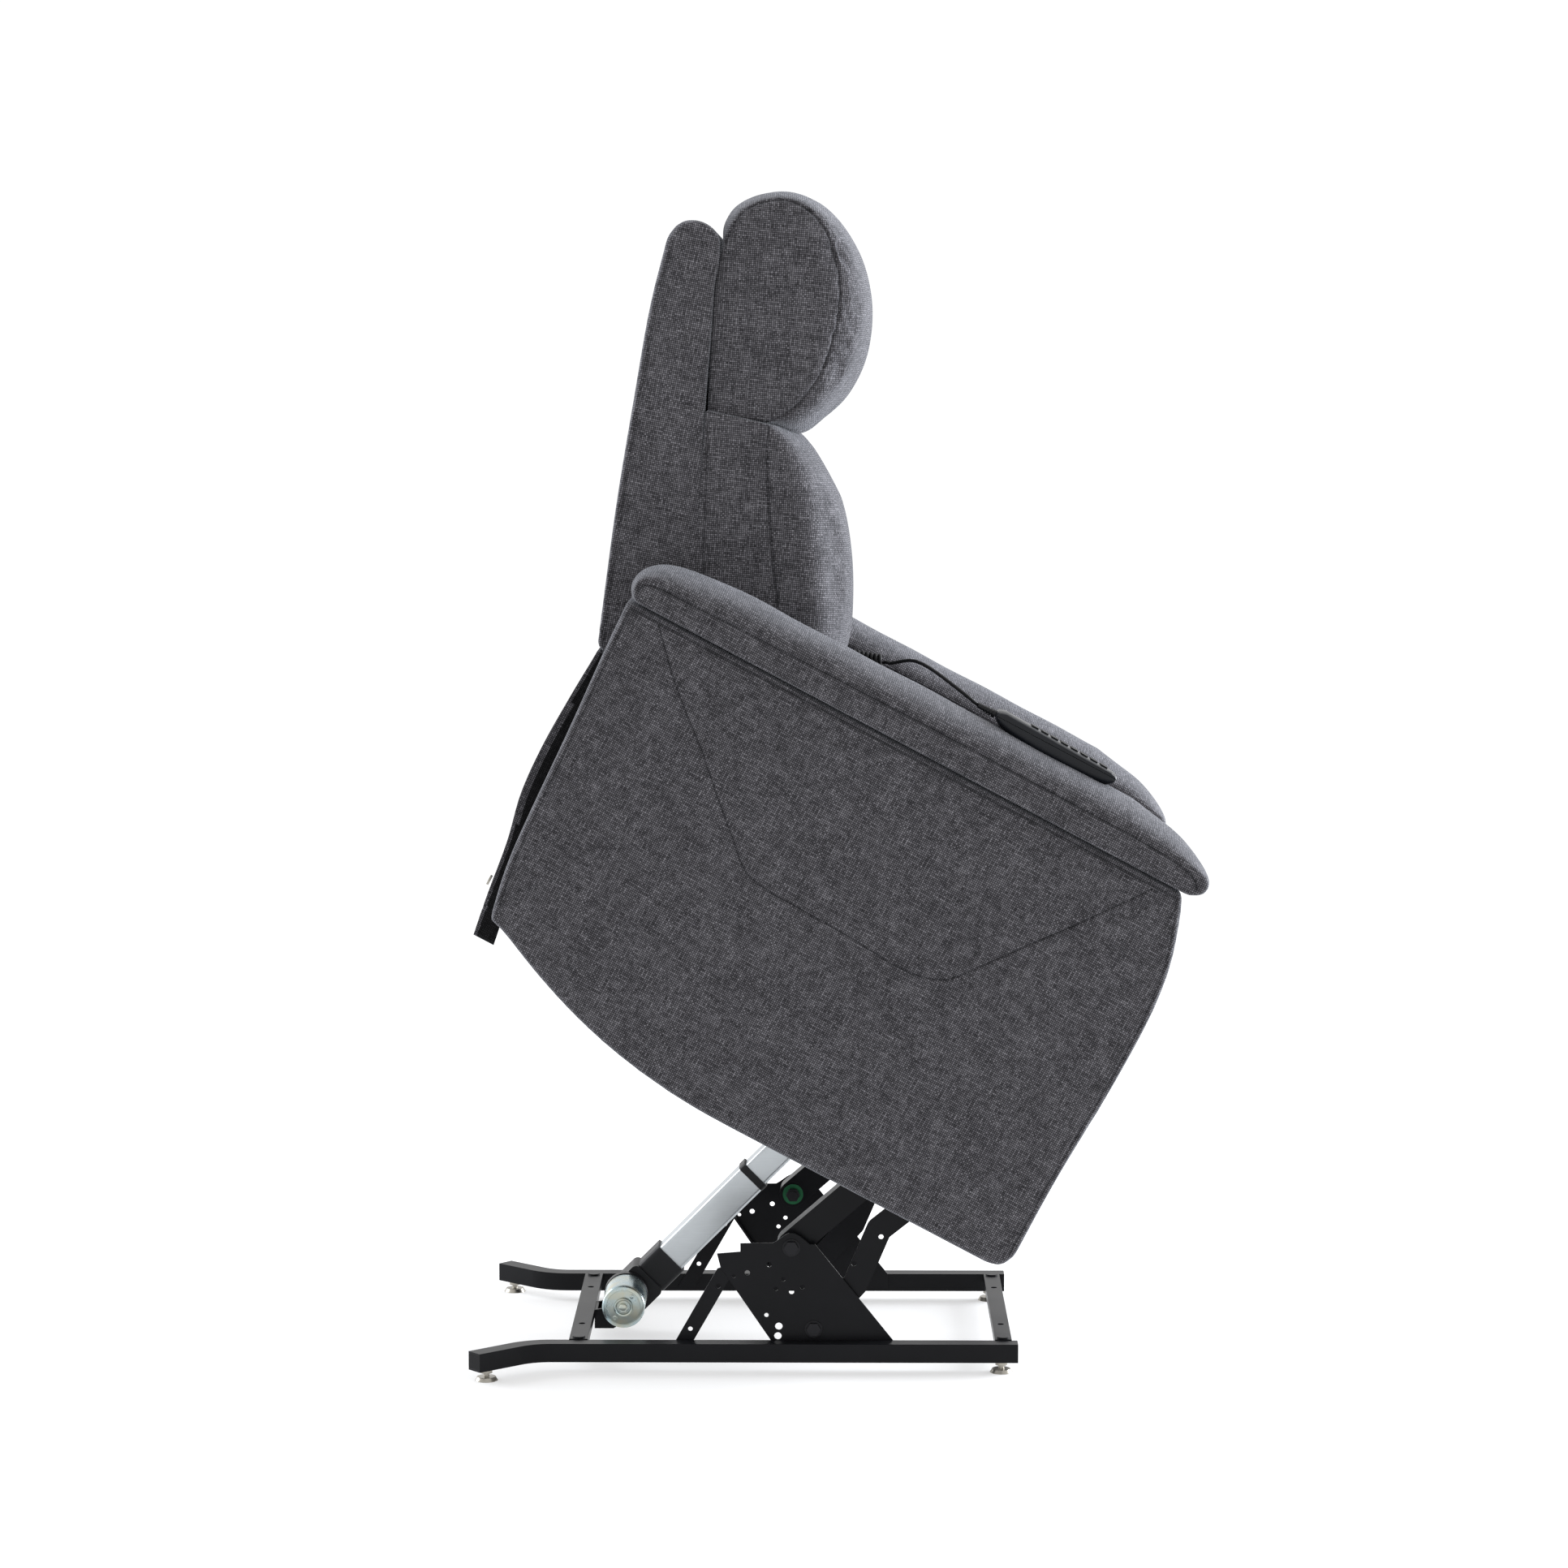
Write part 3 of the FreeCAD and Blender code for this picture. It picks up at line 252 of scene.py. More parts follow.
def remesh(piece, size, smooth=0):
    """Evens a solid out to cells of that size and rounds its edges."""
    modifier = piece.modifiers.new("remesh", "REMESH")
    modifier.mode = "VOXEL"
    modifier.voxel_size = size
    if smooth:
        soften = piece.modifiers.new("smooth", "SMOOTH")
        soften.factor = 0.5
        soften.iterations = smooth
    use_modifiers(piece)


def coordinates(piece):
    co = np.zeros(len(piece.data.vertices) * 3)
    piece.data.vertices.foreach_get("co", co)
    return co.reshape(-1, 3)


def set_coordinates(piece, co):
    piece.data.vertices.foreach_set("co", co.astype(np.float32).ravel())
    piece.data.update()


def normals(piece):
    found = np.zeros(len(piece.data.vertices) * 3)
    piece.data.vertices.foreach_get("normal", found)
    return found.reshape(-1, 3)


PRESSURE = 4.0                     # inside a cushion while it swells
SWELL_FRAMES = 20
CLOTH_MASS = 0.3
CLOTH_STRETCH, CLOTH_SHEAR, CLOTH_BENDING = 15.0, 5.0, 0.5


def stuff(piece, cap, free):
    """Swells a cushion as cloth under pressure. No point moves more than cap, in millimetres.
    free gives each point's share of its movement, 0 where it rests on something."""
    before = coordinates(piece)
    piece.data.transform(Matrix.Scale(MM, 4))
    scene = bpy.context.scene
    cloth = piece.modifiers.new("cloth", "CLOTH")
    settings = cloth.settings
    settings.quality = 5
    settings.mass = CLOTH_MASS
    settings.tension_stiffness = settings.compression_stiffness = CLOTH_STRETCH
    settings.shear_stiffness = CLOTH_SHEAR
    settings.bending_stiffness = CLOTH_BENDING
    settings.use_pressure = True
    settings.uniform_pressure_force = PRESSURE
    settings.effector_weights.gravity = 0.0
    cloth.point_cache.frame_start, cloth.point_cache.frame_end = 1, SWELL_FRAMES
    scene.frame_start, scene.frame_end = 1, SWELL_FRAMES
    for number in range(1, SWELL_FRAMES + 1):
        scene.frame_set(number)
    use_modifiers(piece)
    scene.frame_set(1)
    moved = coordinates(piece) / MM - before
    size = np.linalg.norm(moved, axis=1)
    share = cap * np.tanh(size / cap) / np.maximum(size, 1e-9) * free(before)
    set_coordinates(piece, before + moved * share[:, None])


# ---- seams --------------------------------------------------------------------------------------
SEAM_REACH = 14.0                  # how far from its line a seam is felt


def path_tree(paths):
    """A tree of points 1 mm apart along every path."""
    points = []
    for path in paths:
        path = np.array(path, float)
        for a, b in zip(path, path[1:]):
            count = max(1, int(np.linalg.norm(b - a)))
            points += [a + (b - a) * t for t in np.linspace(0, 1, count, endpoint=False)]
        points.append(path[-1])
    tree = KDTree(len(points))
    for i, point in enumerate(points):
        tree.insert(point, i)
    tree.balance()
    return tree


def refine(piece, tree, reach):
    """Halves the edges near the paths."""
    mesh = bmesh.new()
    mesh.from_mesh(piece.data)
    near = [v.index for v in mesh.verts if tree.find(v.co)[2] < reach]
    chosen = np.zeros(len(mesh.verts), bool)
    chosen[near] = True
    edges = [e for e in mesh.edges if chosen[e.verts[0].index] and chosen[e.verts[1].index]]
    bmesh.ops.subdivide_edges(mesh, edges=edges, cuts=1, use_grid_fill=True)
    mesh.to_mesh(piece.data)
    mesh.free()


def sew(piece, seams, refinements=(SEAM_REACH, 8.0, 4.5)):
    """Presses seams into a piece. Each is (path, depth, width): a negative depth is a raised welt. The mesh
    is refined once within each of the distances in refinements. Along the grooves a painted shade is stored
    on the points, and the fabric is darkened by it as if the groove lay in shadow."""
    tree = path_tree([path for path, depth, width in seams])
    for reach in refinements:
        refine(piece, tree, reach)
    co, out = coordinates(piece), normals(piece)
    push, dark = np.zeros(len(co)), np.zeros(len(co))
    near = [i for i, p in enumerate(co) if tree.find(p)[2] < SEAM_REACH]
    for path, depth, width in seams:
        own = path_tree([path])
        distance = np.array([own.find(co[i])[2] for i in near])
        fall = np.exp(-(distance / width) ** 2)
        push[near] += depth * fall
        # Painted shade: sewn grooves, but not raised welts, are marked to be darkened as if in shadow
        if depth > 0:
            dark[near] = np.maximum(dark[near], fall)
    set_coordinates(piece, co - out * push[:, None])
    attribute = piece.data.attributes.new("seam_shade", "FLOAT", "POINT")
    attribute.data.foreach_set("value", dark.astype(np.float32))


EVENING_ROUNDS = 4


def laid_on(piece, path):
    """The path brought down on to the skin of a piece and evened out, its ends left alone."""
    mesh = bmesh.new()
    mesh.from_mesh(piece.data)
    skin = BVHTree.FromBMesh(mesh)
    mesh.free()
    laid = np.array([skin.find_nearest(Vector(p))[0] for p in path])
    for _ in range(EVENING_ROUNDS):
        laid[1:-1] = (laid[:-2] + 2.0 * laid[1:-1] + laid[2:]) / 4.0
    return [tuple(skin.find_nearest(Vector(p))[0]) for p in laid]


def offset_line(points, distance):
    """A line in u and w moved sideways, to its left as it runs."""
    p = np.array(points, float)
    along = np.gradient(p, axis=0)
    along /= np.linalg.norm(along, axis=1)[:, None]
    return p + np.column_stack([-along[:, 1], along[:, 0]]) * distance


def at_y(points, y):
    return [(u, y, w) for u, w in points]


def smooth_with(piece, material):
    """Shades a piece smoothly, in one material."""
    piece.data.polygons.foreach_set("use_smooth", [True] * len(piece.data.polygons))
    piece.data.materials.clear()
    piece.data.materials.append(material)


def sharpen(piece, angle=35.0):
    """Keeps the edges of a smooth piece crisp where its faces turn by more than that."""
    mesh = bmesh.new()
    mesh.from_mesh(piece.data)
    for edge in mesh.edges:
        edge.smooth = edge.calc_face_angle(0.0) < math.radians(angle)
    mesh.to_mesh(piece.data)
    mesh.free()


def upholster(piece, material, body, fill, *nodes):
    """Finishes a padded piece, which rides on a body and replaces those CAD nodes."""
    finish_piece(piece, material)
    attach(piece, body)
    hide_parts(*nodes)


def finish_piece(piece, material):
    """Puts a piece drawn in the chair's own frame into the row frame, smooth and with its material."""
    piece.data.transform(CHAIR)
    smooth_with(piece, material)
    bpy.context.view_layer.update()


# ---- materials ----------------------------------------------------------------------------------
class Net:
    """A small helper for building a node material."""

    def __init__(self, name):
        self.material = bpy.data.materials.new(name)
        self.material.use_nodes = True
        self.tree = self.material.node_tree
        self.shader = self.tree.nodes["Principled BSDF"]

    def set(self, **values):
        for key, value in values.items():
            self.shader.inputs[key.replace("_", " ")].default_value = value

    def node(self, kind, **values):
        made = self.tree.nodes.new("ShaderNode" + kind)
        for key, value in values.items():
            setattr(made, key, value)
        return made

    def link(self, source, target):
        self.tree.links.new(source, target)

    def math(self, operation, a, b=None, c=None):
        made = self.node("Math", operation=operation)
        for socket, value in zip(made.inputs, (a, b, c)):
            if value is None:
                continue
            if isinstance(value, (int, float)):
                socket.default_value = value
            else:
                self.link(value, socket)
        return made.outputs[0]

    def noise(self, vector, scale, detail=2.0, rough=0.5):
        made = self.node("TexNoise")
        made.inputs["Scale"].default_value = scale
        made.inputs["Detail"].default_value = detail
        made.inputs["Roughness"].default_value = rough
        self.link(vector, made.inputs["Vector"])
        return made.outputs["Fac"]

    def vector(self, x, y, z):
        made = self.node("CombineXYZ")
        for socket, value in zip(made.inputs, (x, y, z)):
            if isinstance(value, (int, float)):
                socket.default_value = value
            else:
                self.link(value, socket)
        return made.outputs[0]

    def ramp(self, factor, stops):
        made = self.node("ValToRGB")
        elements = made.color_ramp.elements
        while len(elements) < len(stops):
            elements.new(0.5)
        for element, (place, colour) in zip(elements, stops):
            element.position = place
            element.color = (*colour, 1.0)
        self.link(factor, made.inputs["Fac"])
        return made.outputs["Color"]

    def mix(self, factor, a, b):
        """Between the numbers or sockets a and b."""
        spread = self.math("SUBTRACT", b, a)
        return self.math("MULTIPLY_ADD", spread, factor, a)

    def bump(self, height, strength, distance):
        made = self.node("Bump")
        made.inputs["Strength"].default_value = strength
        made.inputs["Distance"].default_value = distance
        self.link(height, made.inputs["Height"])
        self.link(made.outputs["Normal"], self.shader.inputs["Normal"])
        return made


THREAD = 0.0026                    # spacing of the fabric's threads, in metres
SLUB = 55.0                        # how often the thickness of a thread changes, per metre
DRIFT, DRIFT_SIZE = 2.2, 9.0       # how far threads wander, in threads, and how often per metre
CLOUDS, FUZZ = 24.0, 1400.0        # size of the broad and the finest variation, per metre
# The last tone on the next line darkens the fabric along sewn grooves, which is a painted shade
YARN_TONE, CLOUD_TONE, FUZZ_TONE, KNOT_TONE, SEAM_SHADE_TONE = 1.45, 0.30, 0.3, 0.75, -0.17
MIDDLE_TONE = 0.40
FABRIC_DARK, FABRIC_MIDDLE, FABRIC_LIGHT = 0.010, 0.066, 0.225
WEAVE_DEPTH = 0.0009


def make_fabric(name, grain, colour_and_light_scale=1.0):
    """A chunky plain weave of slubbed chenille yarn. grain is how far its threads lean forward, in degrees.
    The last argument multiplies its colour: below 1 for the darker lining, and above 1 for the brighter
    copies on the back shell, back cushion and pillow, which are painted light."""
    net = Net(name)
    where = net.node("TexCoord")
    place, facing = net.node("SeparateXYZ"), net.node("SeparateXYZ")
    for source, target in (("Object", place), ("Normal", facing)):
        turn = net.node("Mapping")
        turn.inputs["Rotation"].default_value = (0.0, -math.radians(grain), 0.0)
        net.link(where.outputs[source], turn.inputs["Vector"])
        net.link(turn.outputs[0], target.inputs[0])
    x, y, z = place.outputs
    nx, ny, nz = [net.math("ABSOLUTE", s) for s in facing.outputs]
    along_x = net.math("MULTIPLY", net.math("GREATER_THAN", nx, ny), net.math("GREATER_THAN", nx, nz))
    along_z = net.math("MULTIPLY", net.math("GREATER_THAN", nz, ny), net.math("GREATER_THAN", nz, nx))
    a = net.mix(along_x, x, y)
    b = net.mix(along_z, z, y)

    wobble = net.math("MULTIPLY", net.noise(where.outputs["Object"], DRIFT_SIZE), THREAD * DRIFT)
    a = net.math("ADD", a, wobble)
    b = net.math("ADD", b, wobble)
    wave_a = net.math("SINE", net.math("MULTIPLY", a, math.pi / THREAD))
    wave_b = net.math("SINE", net.math("MULTIPLY", b, math.pi / THREAD))
    crossing = net.math("MULTIPLY", wave_a, wave_b)
    over = net.math("GREATER_THAN", crossing, 0.0)
    knots = net.math("POWER", net.math("ABSOLUTE", crossing), 0.55)

    row_a = net.math("MULTIPLY", net.math("FLOOR", net.math("MULTIPLY", a, 1 / THREAD)), 3.7)
    row_b = net.math("MULTIPLY", net.math("FLOOR", net.math("MULTIPLY", b, 1 / THREAD)), 3.7)
    warp = net.noise(net.vector(row_a, net.math("MULTIPLY", b, SLUB), 7.0), 1.0, 2.0, 0.6)
    weft = net.noise(net.vector(net.math("MULTIPLY", a, SLUB), row_b, 31.0), 1.0, 2.0, 0.6)
    yarn = net.mix(over, warp, weft)
    cloudy = net.noise(where.outputs["Object"], CLOUDS, 5.0, 0.7)
    fuzz = net.noise(where.outputs["Object"], FUZZ, 2.0)

    tone = net.math("MULTIPLY_ADD", net.math("SUBTRACT", yarn, 0.5), YARN_TONE, MIDDLE_TONE)
    tone = net.math("MULTIPLY_ADD", net.math("SUBTRACT", cloudy, 0.5), CLOUD_TONE, tone)
    tone = net.math("MULTIPLY_ADD", net.math("SUBTRACT", fuzz, 0.5), FUZZ_TONE, tone)
    tone = net.math("MULTIPLY_ADD", net.math("SUBTRACT", knots, 0.62), KNOT_TONE, tone)
    # Painted shade: the fabric is darkened along sewn grooves, from the per-point mask that sew stores
    seam_shade = net.node("Attribute", attribute_name="seam_shade")
    tone = net.math("MULTIPLY_ADD", seam_shade.outputs["Fac"], SEAM_SHADE_TONE, tone)
    # The colour stops are scaled by the last argument, which paints light onto the fabric where it is above
    # 1
    dark, middle, light = FABRIC_DARK * colour_and_light_scale, FABRIC_MIDDLE * colour_and_light_scale, FABRIC_LIGHT * colour_and_light_scale
    colour = net.ramp(tone, [(0.0, (dark, dark * 0.98, dark * 1.10)),
                             (0.45, (middle, middle * 0.965, middle * 1.07)),
                             (1.0, (light, light * 0.98, light * 1.06))])
    net.link(colour, net.shader.inputs["Base Color"])
    rough = net.math("MULTIPLY_ADD", knots, -0.08, 0.95)
    net.link(rough, net.shader.inputs["Roughness"])
    height = net.math("MULTIPLY_ADD", fuzz, 0.35, knots)
    height = net.math("MULTIPLY_ADD", yarn, 0.5, height)
    net.bump(height, 0.65, WEAVE_DEPTH)
    net.set(Sheen_Weight=0.38, Sheen_Roughness=0.38, Sheen_Tint=(0.80, 0.84, 0.92, 1.0),
            Specular_IOR_Level=0.10)
    return net.material


EDGE_RADIUS = 0.0011               # of the rounded look of metal edges, in metres


def make_metal(name, colour, metallic, roughness, grain, depth, spread=0.12, streak=None, level=0.5):
    """A metal or a coated metal. grain is how fine its texture is, per metre, depth how deep, and
    spread how far its colour varies. A streak, the angle it runs at, stretches the texture."""
    net = Net(name)
    where = net.node("TexCoord")
    source = where.outputs["Object"]
    if streak:
        turn = net.node("Mapping")
        turn.inputs["Rotation"].default_value = (0, streak, 0)
        turn.inputs["Scale"].default_value = (0.03, 1.0, 1.0)
        net.link(source, turn.inputs["Vector"])
        source = turn.outputs[0]
    fine = net.noise(source, grain, 3.0, 0.6)
    broad = net.noise(where.outputs["Object"], 17.0, 4.0, 0.55)
    both = net.math("MULTIPLY_ADD", fine, 0.5, net.math("MULTIPLY", broad, 0.5))
    low = [c * (1 - spread) for c in colour]
    high = [min(1.0, c * (1 + spread)) for c in colour]
    net.link(net.ramp(both, [(0.3, low), (0.7, high)]), net.shader.inputs["Base Color"])
    rough = net.math("MULTIPLY_ADD", both, 0.18, roughness - 0.09)
    net.link(rough, net.shader.inputs["Roughness"])
    bump = net.bump(fine, 0.35, depth)
    round_edges = net.node("Bevel", samples=4)
    round_edges.inputs["Radius"].default_value = EDGE_RADIUS
    net.link(round_edges.outputs[0], bump.inputs["Normal"])
    net.set(Metallic=metallic, Specular_IOR_Level=level)
    return net.material


def make_zinc_cap(name):
    """Zinc plate with a pale yellow and blue passivation."""
    net = Net(name)
    where = net.node("TexCoord")
    tint = net.noise(where.outputs["Object"], 26.0, 3.0, 0.6)
    fine = net.noise(where.outputs["Object"], 900.0, 2.0)
    colour = net.ramp(tint, [(0.30, (0.27, 0.38, 0.43)), (0.5, (0.42, 0.50, 0.50)),
                             (0.68, (0.50, 0.49, 0.38))])
    net.link(colour, net.shader.inputs["Base Color"])
    net.link(net.math("MULTIPLY_ADD", tint, 0.22, 0.16), net.shader.inputs["Roughness"])
    net.bump(fine, 0.25, 0.0002)
    net.set(Metallic=0.92)
    return net.material


def make_plastic(name, colour, roughness, grain=2600.0, depth=0.00012, level=0.25):
    """Moulded plastic with a fine spark-eroded grain and a slight variation of gloss."""
    net = Net(name)
    where = net.node("TexCoord")
    fine = net.noise(where.outputs["Object"], grain, 2.0)
    broad = net.noise(where.outputs["Object"], 40.0, 3.0)
    low = [c * 0.85 for c in colour]
    high = [c * 1.15 for c in colour]
    net.link(net.ramp(broad, [(0.3, low), (0.7, high)]), net.shader.inputs["Base Color"])
    net.link(net.math("MULTIPLY_ADD", broad, 0.14, roughness - 0.07), net.shader.inputs["Roughness"])
    net.bump(fine, 0.3, depth)
    net.set(Specular_IOR_Level=level)
    return net.material


def make_wood(name):
    """Pale plantation timber with straight grain along X."""
    net = Net(name)
    where = net.node("TexCoord")
    turn = net.node("Mapping")
    turn.inputs["Scale"].default_value = (3.0, 60.0, 60.0)
    net.link(where.outputs["Object"], turn.inputs["Vector"])
    grain = net.noise(turn.outputs[0], 1.0, 5.0, 0.6)
    rings = net.noise(turn.outputs[0], 0.35, 2.0)
    both = net.math("MULTIPLY_ADD", grain, 0.6, net.math("MULTIPLY", rings, 0.4))
    net.link(net.ramp(both, [(0.35, (0.36, 0.22, 0.11)), (0.65, (0.62, 0.44, 0.26))]),
             net.shader.inputs["Base Color"])
    net.link(net.math("MULTIPLY_ADD", grain, 0.2, 0.5), net.shader.inputs["Roughness"])
    net.bump(grain, 0.4, 0.0004)
    return net.material


fabric = make_fabric("chenille_weave", 28.0)
# The back shell, back cushion and pillow get copies of the same fabric made 14% brighter: painted light for
# the light falling on them
shell_fabric = make_fabric("chenille_weave_back_painted_light", 12.0, 1.14)
cushion_fabric = make_fabric("chenille_weave_cushion_painted_light", 5.0, 1.14)
lining = make_fabric("lining_weave", 28.0, 0.10)
black_steel = make_metal("black_powder_coat", (0.0060, 0.0062, 0.0074), 0.0, 0.30, 1500.0, 0.00010,
                         spread=0.25, level=0.11)
black_bolt = make_metal("black_oxide", (0.012, 0.012, 0.014), 0.5, 0.40, 1800.0, 0.0001, spread=0.2,
                        level=0.3)
zinc = make_metal("zinc_plate", (0.36, 0.34, 0.30), 1.0, 0.30, 1200.0, 0.0001)
zinc_cap = make_zinc_cap("zinc_passivate")
aluminium = make_metal("satin_aluminium", (0.50, 0.53, 0.55), 0.85, 0.32, 1500.0, 0.00006,
                       spread=0.10, streak=math.radians(45.0))
rod_steel = make_metal("ground_steel", (0.50, 0.51, 0.53), 1.0, 0.25, 1500.0, 0.00006)
green = make_plastic("green_nylon", (0.008, 0.095, 0.036), 0.42)
black_plastic = make_plastic("black_plastic", (0.0065, 0.0070, 0.0085), 0.42, 2600.0, 0.00010)
handset_shell = make_plastic("handset_plastic", (0.0060, 0.0072, 0.0100), 0.33, 3400.0, 0.00005)
cord_rubber = make_plastic("cord_rubber", (0.0050, 0.0052, 0.0060), 0.5, 3000.0, 0.00008, level=0.15)
wood = make_wood("timber")


# ---- CAD nodes that stay ------------------------------------------------------------------------
NODE_MATERIALS = {
    black_steel: ["base_rails", "base_crossbars", "lift_plates", "rear_braces", "actuator_bracket",
                  "rear_lift_links", "rear_link_cross_tube", "front_lift_links", "front_link_tie_rod",
                  "chassis_plates", "chassis_cross_tubes", "back_frame", "headrest_bracket",
                  "leg_lower_links", "leg_upper_links"],
    black_bolt: ["lift_pivot_bolts", "headrest_pins"],
    zinc: ["levelling_feet", "flap_snaps"],
    aluminium: ["lift_outer_tube", "lift_inner_tube"],
    rod_steel: ["seat_springs", "back_actuator_rod", "leg_actuator_rod"],
    green: ["lift_pivot_bushes"],
    black_plastic: ["lift_gearbox", "lift_tube_collar", "control_box", "back_actuator_housing",
                    "leg_actuator_housing", "handset_strain_relief", "cord_gland"],
    wood: ["seat_frame", "arm_frames", "legrest_board"],
    cord_rubber: ["key_%d" % (i + 1) for i in range(8)],
}


def dress_nodes():
    """Gives the CAD nodes that stay in view their materials."""
    for material, names in NODE_MATERIALS.items():
        for name in names:
            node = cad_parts[name]
            node.data.materials.clear()
            node.data.materials.append(material)


# ---- arms ---------------------------------------------------------------------------------------
PANEL_FRONT = [(2, 20), (2, 128), (8, 281), (7, 382), (-2, 449), (-21, 510), (-34, 538)]
PANEL_REAR = [(-835, 538), (-832, 467), (-825, 353), (-816, 181), (-801, 90)]
PANEL_BELOW = [(-801, 90), (-777, 83), (-716, 56), (-657, 34), (-602, 18), (-549, 7), (-499, 0), (-449, -4),
               (-400, -5)]
PANEL_CORNER = [(-24, -5), (-7, 2), (2, 20)]
POCKET_SEAM = [(-787, 528), (-744, 482), (-706, 447), (-660, 408), (-611, 362), (-575, 330), (-553, 309),
               (-534, 297), (-499, 291), (-452, 290), (-392, 288), (-317, 283), (-283, 285), (-256, 293),
               (-238, 307), (-177, 385), (-132, 442), (-80, 512), (-71, 524)]


def make_arm(side, name):
    """The upholstered box of one arm. side is -1 for the sitter's right."""
    panel = trace([PANEL_FRONT, [PANEL_FRONT[-1], PANEL_REAR[0]], PANEL_REAR, PANEL_BELOW,
                   [PANEL_BELOW[-1], PANEL_CORNER[0]], PANEL_CORNER], 40)
    centre = np.array([-415.0, 265.0])
    half = (panel.max(axis=0) - panel.min(axis=0)) / 2
    sections = []
    for y, inset in ((ARM_INNER, 4.0), (ARM_INNER + 4, 0.0), (ARM_OUTER - 9, 0.0), (ARM_OUTER - 3, 1.5),
                     (ARM_OUTER, 6.0)):
        sections.append((side * y, centre + (panel - centre) * (1 - inset / half)))
    arm = lofted("arm_body_" + name, sections)
    remesh(arm, 6.0, 3)
    face = side * ARM_OUTER
    pocket = at_y(smooth_run(POCKET_SEAM, 90), face)
    welt = at_y(offset_line(smooth_run(POCKET_SEAM, 90), -5.0), face)
    front = offset_line(smooth_run(PANEL_FRONT, 60), 8.0)
    rear = offset_line(smooth_run(PANEL_REAR, 60), 8.0)
    top = [(-826.0, face, 529.5), (-34.0, face, 529.5)]
    shifted_top = [(-826.0, face, 533.5), (-34.0, face, 533.5)]
    sew(arm, [(pocket, 2.0, 1.4), (welt, -0.8, 3.0), (at_y(front, face), 2.0, 1.6),
              (at_y(rear, face), 2.0, 1.6), (top, 3.2, 1.9), (shifted_top, -1.2, 2.4)])
    upholster(arm, fabric, "chassis", 0.9, "arm_panel_" + name, "arm_inner_panels")


def make_arm_pad(side, name):
    """The padded top of one arm: a gusset all round and a crowned top panel sewn to it."""
    nose = [(-140, PAD_TOP), (-104, 604), (-69, 598), (-47, 591), (-28, 582), (-11, 571), (-3, 559),
            (-7, 547), (-22, PAD_LOW)]
    tail = [(-832, PAD_LOW), (-842, 553), (-835, 578), (-804, 598), (-728, 609), (-609, PAD_TOP)]
    outline = trace([[nose[-1], tail[0]], tail, [tail[-1], nose[0]], nose], 30)
    middle = (PAD_INNER + PAD_OUTER) / 2
    half = (PAD_OUTER - PAD_INNER) / 2
    sections = []
    for turn in np.linspace(-math.pi / 2, math.pi / 2, 25):
        t = math.sin(turn)
        crown = crown_of(t, 1.0, 1.95)
        section = outline.copy()
        above = section[:, 1] > PAD_SEAM
        section[above, 1] = PAD_SEAM + (section[above, 1] - PAD_SEAM) * (0.12 + 0.88 * crown)
        section[:, 0] = PAD_MIDDLE + (section[:, 0] - PAD_MIDDLE) * (1 - 0.02 * (1 - crown))
        sections.append((side * (middle + t * half), section))
    pad = lofted("arm_top_" + name, sections)
    remesh(pad, 5.0, 3)
    co = coordinates(pad)
    ripple = 0.5 * np.sin(co[:, 0] / 47.0 + 1.3) * np.sin(co[:, 1] / 23.0) + 0.4 * np.sin(co[:, 0] / 19.0)
    top = np.clip((co[:, 2] - PAD_SEAM) / 20.0, 0, 1)
    set_coordinates(pad, co + np.column_stack([0 * top, 0 * top, 1.1 * top * ripple]))
    seams = []
    for y in (PAD_OUTER, PAD_INNER):
        line = [(-829, 553), (-826, 564), (-800, 569), (-742, 570), (-560, 573), (-420, 574), (-290, 574),
                (-130, 573), (-60, 569), (-32, 562), (-22, 552)]
        seams.append((at_y(smooth_run(line, 80), side * y), 2.6, 1.9))
    sew(pad, seams)
    upholster(pad, fabric, "chassis", 0.75, "arm_pad_" + name)


# ---- seat, back, pillow and leg rest ------------------------------------------------------------
def crown_of(y, half, power):
    """1 in the middle of a piece and 0 at its sides."""
    return max(0.0, 1 - abs(y / half) ** power) ** (1 / power)


def between(side_outline, middle_outline, half, power, count=20):
    """Sections that swell from one outline at the sides to another in the middle."""
    sections = []
    for turn in np.linspace(-math.pi / 2, math.pi / 2, count + 1):
        y = half * math.sin(turn)
        share = crown_of(y, half, power)
        sections.append((y, side_outline + (middle_outline - side_outline) * share))
    return sections


def make_seat():
    """The seat cushion, flat below and crowned above, with a sewn channel near each side."""
    rear, front, low = -596, -36, 353
    edge = SEAT_TOP - 12
    side = trace([[(rear, low), (front, low)], [(front, low), (front + 2, 418), (front - 10, edge)],
                  [(front - 10, edge), (rear, edge)], [(rear, edge), (rear, low)]])
    middle = trace([[(rear, low), (front, low)], [(front, low), (front + 6, 418), (front - 24, SEAT_TOP)],
                    [(front - 24, SEAT_TOP), (rear, SEAT_TOP)], [(rear, SEAT_TOP), (rear, low)]])
    seat = lofted("seat_pad", between(side, middle, 257.0, 3.0))
    remesh(seat, 6.0, 2)
    stuff(seat, 7.0, lambda p: np.clip((p[:, 2] - low - 12) / 30, 0, 1)
          * np.clip((258.0 - np.abs(p[:, 1])) / 14 + 0.15, 0, 1) * np.clip((-30 - p[:, 0]) / 20 + 0.3, 0, 1))
    rim = [(front - 6, -252, 445), (front - 6, 252, 445)]
    seams = [(rim, 2.4, 3.4)]
    for y in (-225.0, 225.0):
        channel = [(-590, y, 458), (-90, y, 460), (-60, y, 456), (front, y, 430), (front + 2, y, 380)]
        seams.append((channel, 2.4, 3.6))
    sew(seat, seams, (13.0,))
    upholster(seat, fabric, "chassis", 0.8, "seat_cushion")


